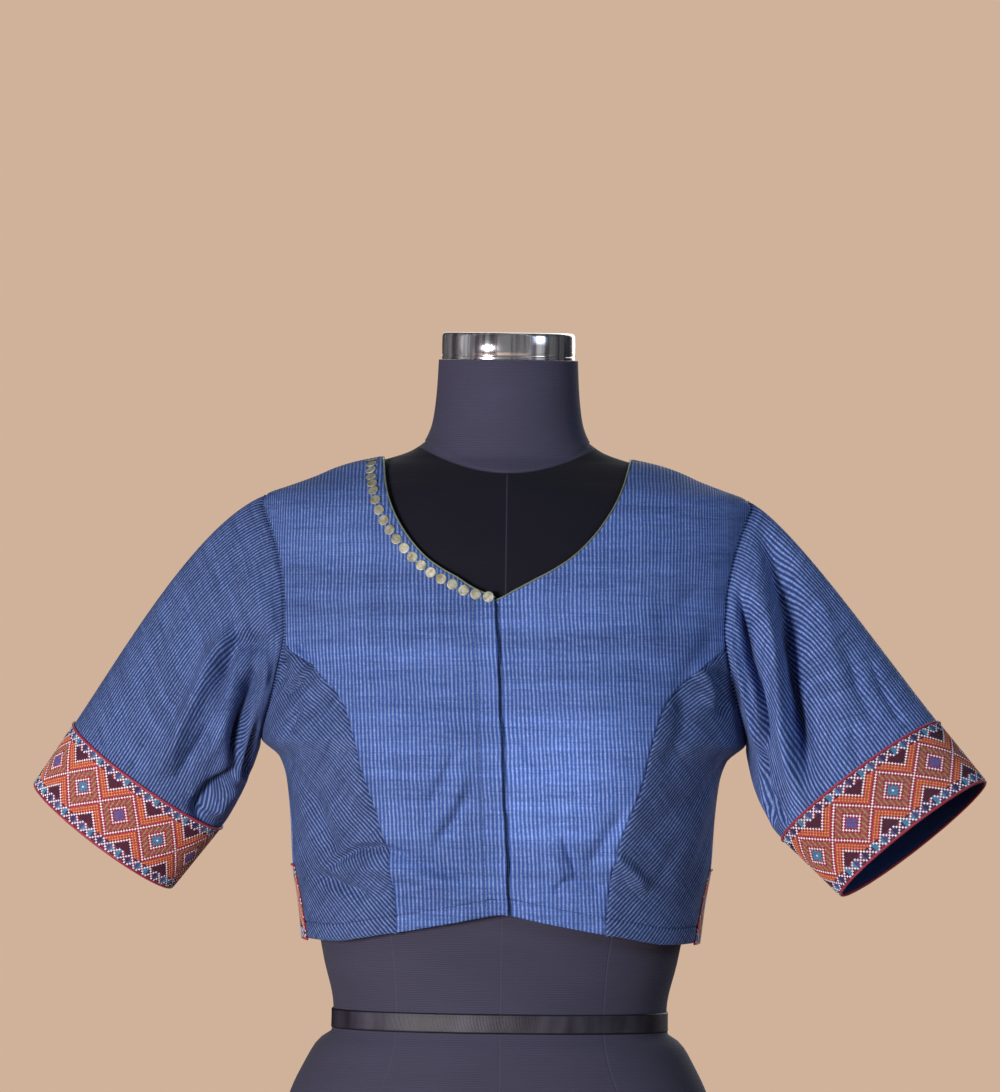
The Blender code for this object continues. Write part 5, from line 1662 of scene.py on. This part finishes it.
def bias_cover(name, low, high, gleam, roughness, metallic=0.0):
    """The finish of a bias strip's cover: slanted ribs of a fine weave, with a soft gleam."""
    finish = new_finish(name, roughness=roughness, metallic=metallic, specular=0.5, sheen=gleam)
    tree, chart, u, v = cloth_places_in(finish)
    ribs = wave(u + v, 0.0009) * 0.5 + 0.5
    worn = noise(tree, stretched(chart, 160.0, 400.0), 1.0, 3.0)
    feed(finish, "Base Color", mixed(ribs * 0.4 + worn * 0.6, low, high))
    relief(finish, ribs + worn, 0.2, 0.6)
    return finish


crimson = bias_cover("red_piping", (0.220, 0.010, 0.030), (0.520, 0.030, 0.085), 0.2, 0.45)
olive_gold = bias_cover("olive_gold_piping", (0.060, 0.080, 0.055), (0.330, 0.370, 0.230), 0.2, 0.42, 0.2)

red_pipings = {}
for side, label in SIDES.items():
    turn = -90.0 + 360.0 * np.arange(PIPING_POINTS) / PIPING_POINTS
    red_pipings[side] = []
    for part, way, seat in (("top", 1.0, "top"), ("cuff", 2.0, "edge")):
        out, beyond = PIPING_SEATS[seat]
        points, outward = sleeve_spot(side, turn, np.full(PIPING_POINTS, way + 1e-6), out)
        inner, _ = sleeve_spot(side, turn, np.full(PIPING_POINTS, 1.5), out)
        line = points + unit(points - inner) * beyond
        piece = cord(f"piping_{part}_{label}", line, outward, PIPING_RADIUS, True)
        piece.data.materials.append(crimson)
        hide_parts(f"sleeve_piping_{part}_{label}")
        red_pipings[side].append(piece)

for part, row, seat in (("top", float(BACK_BAND_ROWS), "top"), ("hem", 0.0, "edge")):
    out, beyond = PIPING_SEATS[seat]
    points, outward = whole_back(np.array([row, row + 1.0]), np.linspace(0.0, 1.0, 90), out)
    line = points[0] - np.array([0.0, 0.0, beyond])
    piece = cord(f"piping_{part}_back", line, outward[0], PIPING_RADIUS, False)
    piece.data.materials.append(crimson)
    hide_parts(f"back_band_piping_{part}")

neck_pipings = {}
NECK_MIDDLE = np.array([0.0, 0.0, 700.0])
neck_shares = np.linspace(0.0, 1.0, 90)


def neck_places(table, shares):
    across, height = points_along(table, shares)
    return angle_at(across, height), height


back_angle, back_height = neck_places(NECK_EDGE_BACK, neck_shares)
left_shares = NECK_LEFT_FROM + (1.0 - NECK_LEFT_FROM) * neck_shares
neck_lines = {
    "right": (*neck_places(NECK_EDGE_RIGHT, crowded(neck_shares)), True),
    "left": (*neck_places(NECK_EDGE_LEFT, crowded(left_shares)), False),
    "back": (
        np.concatenate([back_angle[:0:-1] - 180.0, 180.0 - back_angle]),
        np.concatenate([back_height[:0:-1], back_height]), False,
    ),
}
for label, (angle, height, over) in neck_lines.items():
    points, outward = cloth_spot(angle, height, -0.5 * CLOTH_WALL, lapped=over)
    run = np.gradient(points, axis=0)
    into = unit(np.cross(run, outward))
    into = into * np.sign(np.sum(into * (NECK_MIDDLE - points), axis=-1, keepdims=True))
    line = points + into * NECK_PIPING_IN
    piece = cord(f"piping_neck_{label}", line, outward, NECK_PIPING_RADIUS, False)
    piece.data.materials.append(olive_gold)
    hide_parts(f"neck_piping_{label}")
    neck_pipings[label] = piece

# Discs
# Twenty little flat coils of pale gold wire thread, each 8.5 mm across, sewn edge to edge beside
# the right front's neck piping, from the V by the lap to the top of the shoulder.
DISC_COUNT = 20
DISC_RADIUS = 4.25
DISC_TOP_HEIGHT = 685.5
DISC_SIDES = 28
DISC_ROW = (
    ("way", "from_edge"),
    (0.0, 0.8),
    (0.05, 1.6),
    (0.11, 4.0),
    (0.17, 5.6),
    (0.26, 6.7),
    (0.46, 7.0),
    (0.60, 8.6),
    (0.74, 9.8),
    (0.90, 10.0),
    (1.0, 8.0),
)


def disc_shape():
    """A flat coil: rings of thread from the rim to the middle."""
    radii = np.array([1.0, 0.98, 0.90, 0.82, 0.74, 0.66, 0.58, 0.50, 0.42, 0.34, 0.26, 0.18, 0.10])
    rise = np.where(np.arange(len(radii)) % 2 == 0, 0.13, 0.20)
    rise[0], rise[1] = 0.02, 0.12
    rise[-2:] = (0.17, 0.16)
    turn = 2.0 * math.pi * np.arange(DISC_SIDES) / DISC_SIDES
    grid = np.array([
        np.stack([np.cos(turn) * radius, np.sin(turn) * radius, np.full(DISC_SIDES, up)], axis=-1)
        for radius, up in zip(radii, rise)
    ])
    faces = [
        (low + j, low + (j + 1) % DISC_SIDES, low + DISC_SIDES + (j + 1) % DISC_SIDES, low + DISC_SIDES + j)
        for low in range(0, (len(grid) - 1) * DISC_SIDES, DISC_SIDES) for j in range(DISC_SIDES)
    ]
    faces.append(tuple(range((len(grid) - 1) * DISC_SIDES, len(grid) * DISC_SIDES)))
    mesh = bpy.data.meshes.new("disc")
    mesh.from_pydata(grid.reshape(-1, 3).tolist(), [], faces)
    mesh.shade_smooth()
    layer = mesh.uv_layers.new(name="cloth")
    for loop in mesh.loops:
        at = mesh.vertices[loop.vertex_index].co
        layer.uv[loop.index].vector = (math.atan2(at.y, at.x) / (2.0 * math.pi), math.hypot(at.x, at.y))
    return bpy.data.objects.new("disc", mesh)


zari = new_finish("pale_gold_disc", roughness=0.45, metallic=0.30, specular=0.5)
tree, place = places_in(zari)
tint = node(tree, "ShaderNodeAttribute", {"attribute_name": "tint"})
# The fine wire noise makes small light and dark specks: partly the coiled thread, partly painted glints of
# the wire.
wire_and_glints = noise(tree, place, 1100.0, 3.0, 0.7)
tarnish = noise(tree, place, 260.0, 3.0)
colour = mixed(tarnish.between(0.3, 0.75), tint, (0.240, 0.200, 0.090))
feed(zari, "Base Color", dimmed(colour, 0.35 + wire_and_glints * 1.3))
feed(zari, "Roughness", 0.30 + tarnish * 0.30)
relief(zari, wire_and_glints + tarnish, 0.25, 0.8)


def disc_places(ways):
    """Points of the discs' line, at shares of the right front's neck edge from the V."""
    across, height = points_along(NECK_EDGE_RIGHT, ways)
    ahead_across, ahead_height = points_along(NECK_EDGE_RIGHT, ways + 0.005)
    run = unit(np.stack([ahead_across - across, ahead_height - height], axis=-1))
    from_edge = SmoothTable(DISC_ROW).read("from_edge", ways)
    across = across - run[:, 1] * from_edge
    height = np.minimum(height + run[:, 0] * from_edge, DISC_TOP_HEIGHT)
    return cloth_spot(angle_at(across, height), height, 0.35, lapped=True)


ways = np.linspace(0.0, 0.985, 240)
reach = reach_along(disc_places(ways)[0], 0)
even = (np.arange(DISC_COUNT) + 0.5) / DISC_COUNT
points, outward = disc_places(np.interp(even * reach[-1], reach, ways))
jitter = np.random.default_rng(5)
outward = unit(outward + jitter.normal(0.0, 0.07, outward.shape))
tips = unit(np.cross(outward, jitter.normal(0.0, 1.0, outward.shape)))
shades = np.array([0.50, 0.49, 0.41]) * jitter.uniform(0.80, 1.12, (DISC_COUNT, 1))
discs = set_pieces("neck_zari_discs", points, outward, tips, disc_shape(), DISC_RADIUS, zari, shades)
bpy.data.objects.remove(bpy.data.objects["disc"])
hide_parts("neck_discs")

# Sewing
# Navy thread, in short even stitches that sink into the cloth: a row 13 mm above the hem, one
# down the placket 17 mm from the lap, and a small box that closes the placket at the hem.
STITCH_STEP = 3.0
BOX_IN = 1.5
BOX_UP = (5.0, 12.0)
STITCH_HALF_LENGTH = 1.15
SEWING_OUT = 0.12
STITCH_RINGS = (
    ("along", "up", "radius"),
    (-1.0, -0.16, 0.05),
    (-0.7, -0.02, 0.15),
    (0.0, 0.05, 0.18),
    (0.7, -0.02, 0.15),
    (1.0, -0.16, 0.05),
)


def stitch_shape():
    """One stitch: a short thread with sunk ends."""
    turn = 2.0 * math.pi * np.arange(6) / 6
    grid = np.array([
        np.stack([np.full(6, along), np.cos(turn) * radius, up + np.sin(turn) * radius], axis=-1)
        for along, up, radius in STITCH_RINGS[1:]
    ])
    faces = [
        (i * 6 + j, (i + 1) * 6 + j, (i + 1) * 6 + (j + 1) % 6, i * 6 + (j + 1) % 6)
        for i in range(4) for j in range(6)
    ]
    faces += [tuple(range(6)), tuple(range(24, 30))[::-1]]
    mesh = bpy.data.meshes.new("stitch")
    mesh.from_pydata(grid.reshape(-1, 3).tolist(), [], faces)
    mesh.shade_smooth()
    return bpy.data.objects.new("stitch", mesh)


navy = new_finish("sewing_thread", roughness=0.6, specular=0.3)
tree, place = places_in(navy)
ply = noise(tree, place, 2200.0, 2.0)
feed(navy, "Base Color", mixed(ply, (0.012, 0.018, 0.070), (0.030, 0.045, 0.140)))
relief(navy, ply, 0.1, 0.6)


def sewn_line(name, line, outward):
    """A row of stitches along a line of points on the cloth."""
    reach = reach_along(line, 0)
    count = int(reach[-1] // STITCH_STEP)
    at = (np.arange(count) + 0.5) * reach[-1] / count
    points = read_line(at, reach, line)
    square = unit(read_line(at, reach, outward))
    run = unit(read_line(at + 0.5, reach, line) - points + 1e-9)
    made = set_pieces(name, points, square, run, stitch_shape(), STITCH_HALF_LENGTH, navy)
    bpy.data.objects.remove(bpy.data.objects["stitch"])
    return made


def beside_lap(inward, height):
    """Places just over the right front, so far in from its lap edge."""
    angle = angle_at(lap_edge_across(height) - inward, height)
    return cloth_spot(angle, height, SEWING_OUT, lapped=True)


sewing = {}
for side, label in SIDES.items():
    over = side == RIGHT
    angle = np.linspace(1.0 if over else -4.0, 88.0 - SIDE_SEAM_FORWARD, 200)
    height = hem_line.read("height", np.abs(angle)) + HEM_ROW_UP
    line, outward = cloth_spot(side * angle, height, SEWING_OUT, lapped=over)
    sewing[side] = [sewn_line(f"hem_stitches_{label}", line, outward)]

height = np.linspace(HEM_FRONT_HEIGHT + HEM_ROW_UP, LAP_EDGE_TOP[1] + 3.0, 120)
sewing[RIGHT].append(sewn_line("placket_stitches", *beside_lap(PLACKET_IN, height)))
low, high = BOX_UP
inward = np.linspace(BOX_IN, PLACKET_IN, 12)
inward = np.concatenate([inward, np.full(6, PLACKET_IN), inward[::-1]])
up = np.concatenate([np.full(12, low), np.linspace(low, high, 6), np.full(12, high)])
sewing[RIGHT].append(sewn_line("placket_box_stitches", *beside_lap(inward, HEM_FRONT_HEIGHT + up)))

# Cuts
# The flat size that each piece of cloth was cut to, with the trims and the sewing that lie on it.
for side, label in SIDES.items():
    trims = sewing[side] + ([discs] if side == RIGHT else []) + [neck_pipings[label]]
    width = 0.200 if side == RIGHT else 0.226
    area = min(shell_area(front_grids[side]), width * 0.385)
    area = shell_area(side_grids[side])
    trims = [band_stitches[side]] + red_pipings[side]
area = shell_area(back_grid)
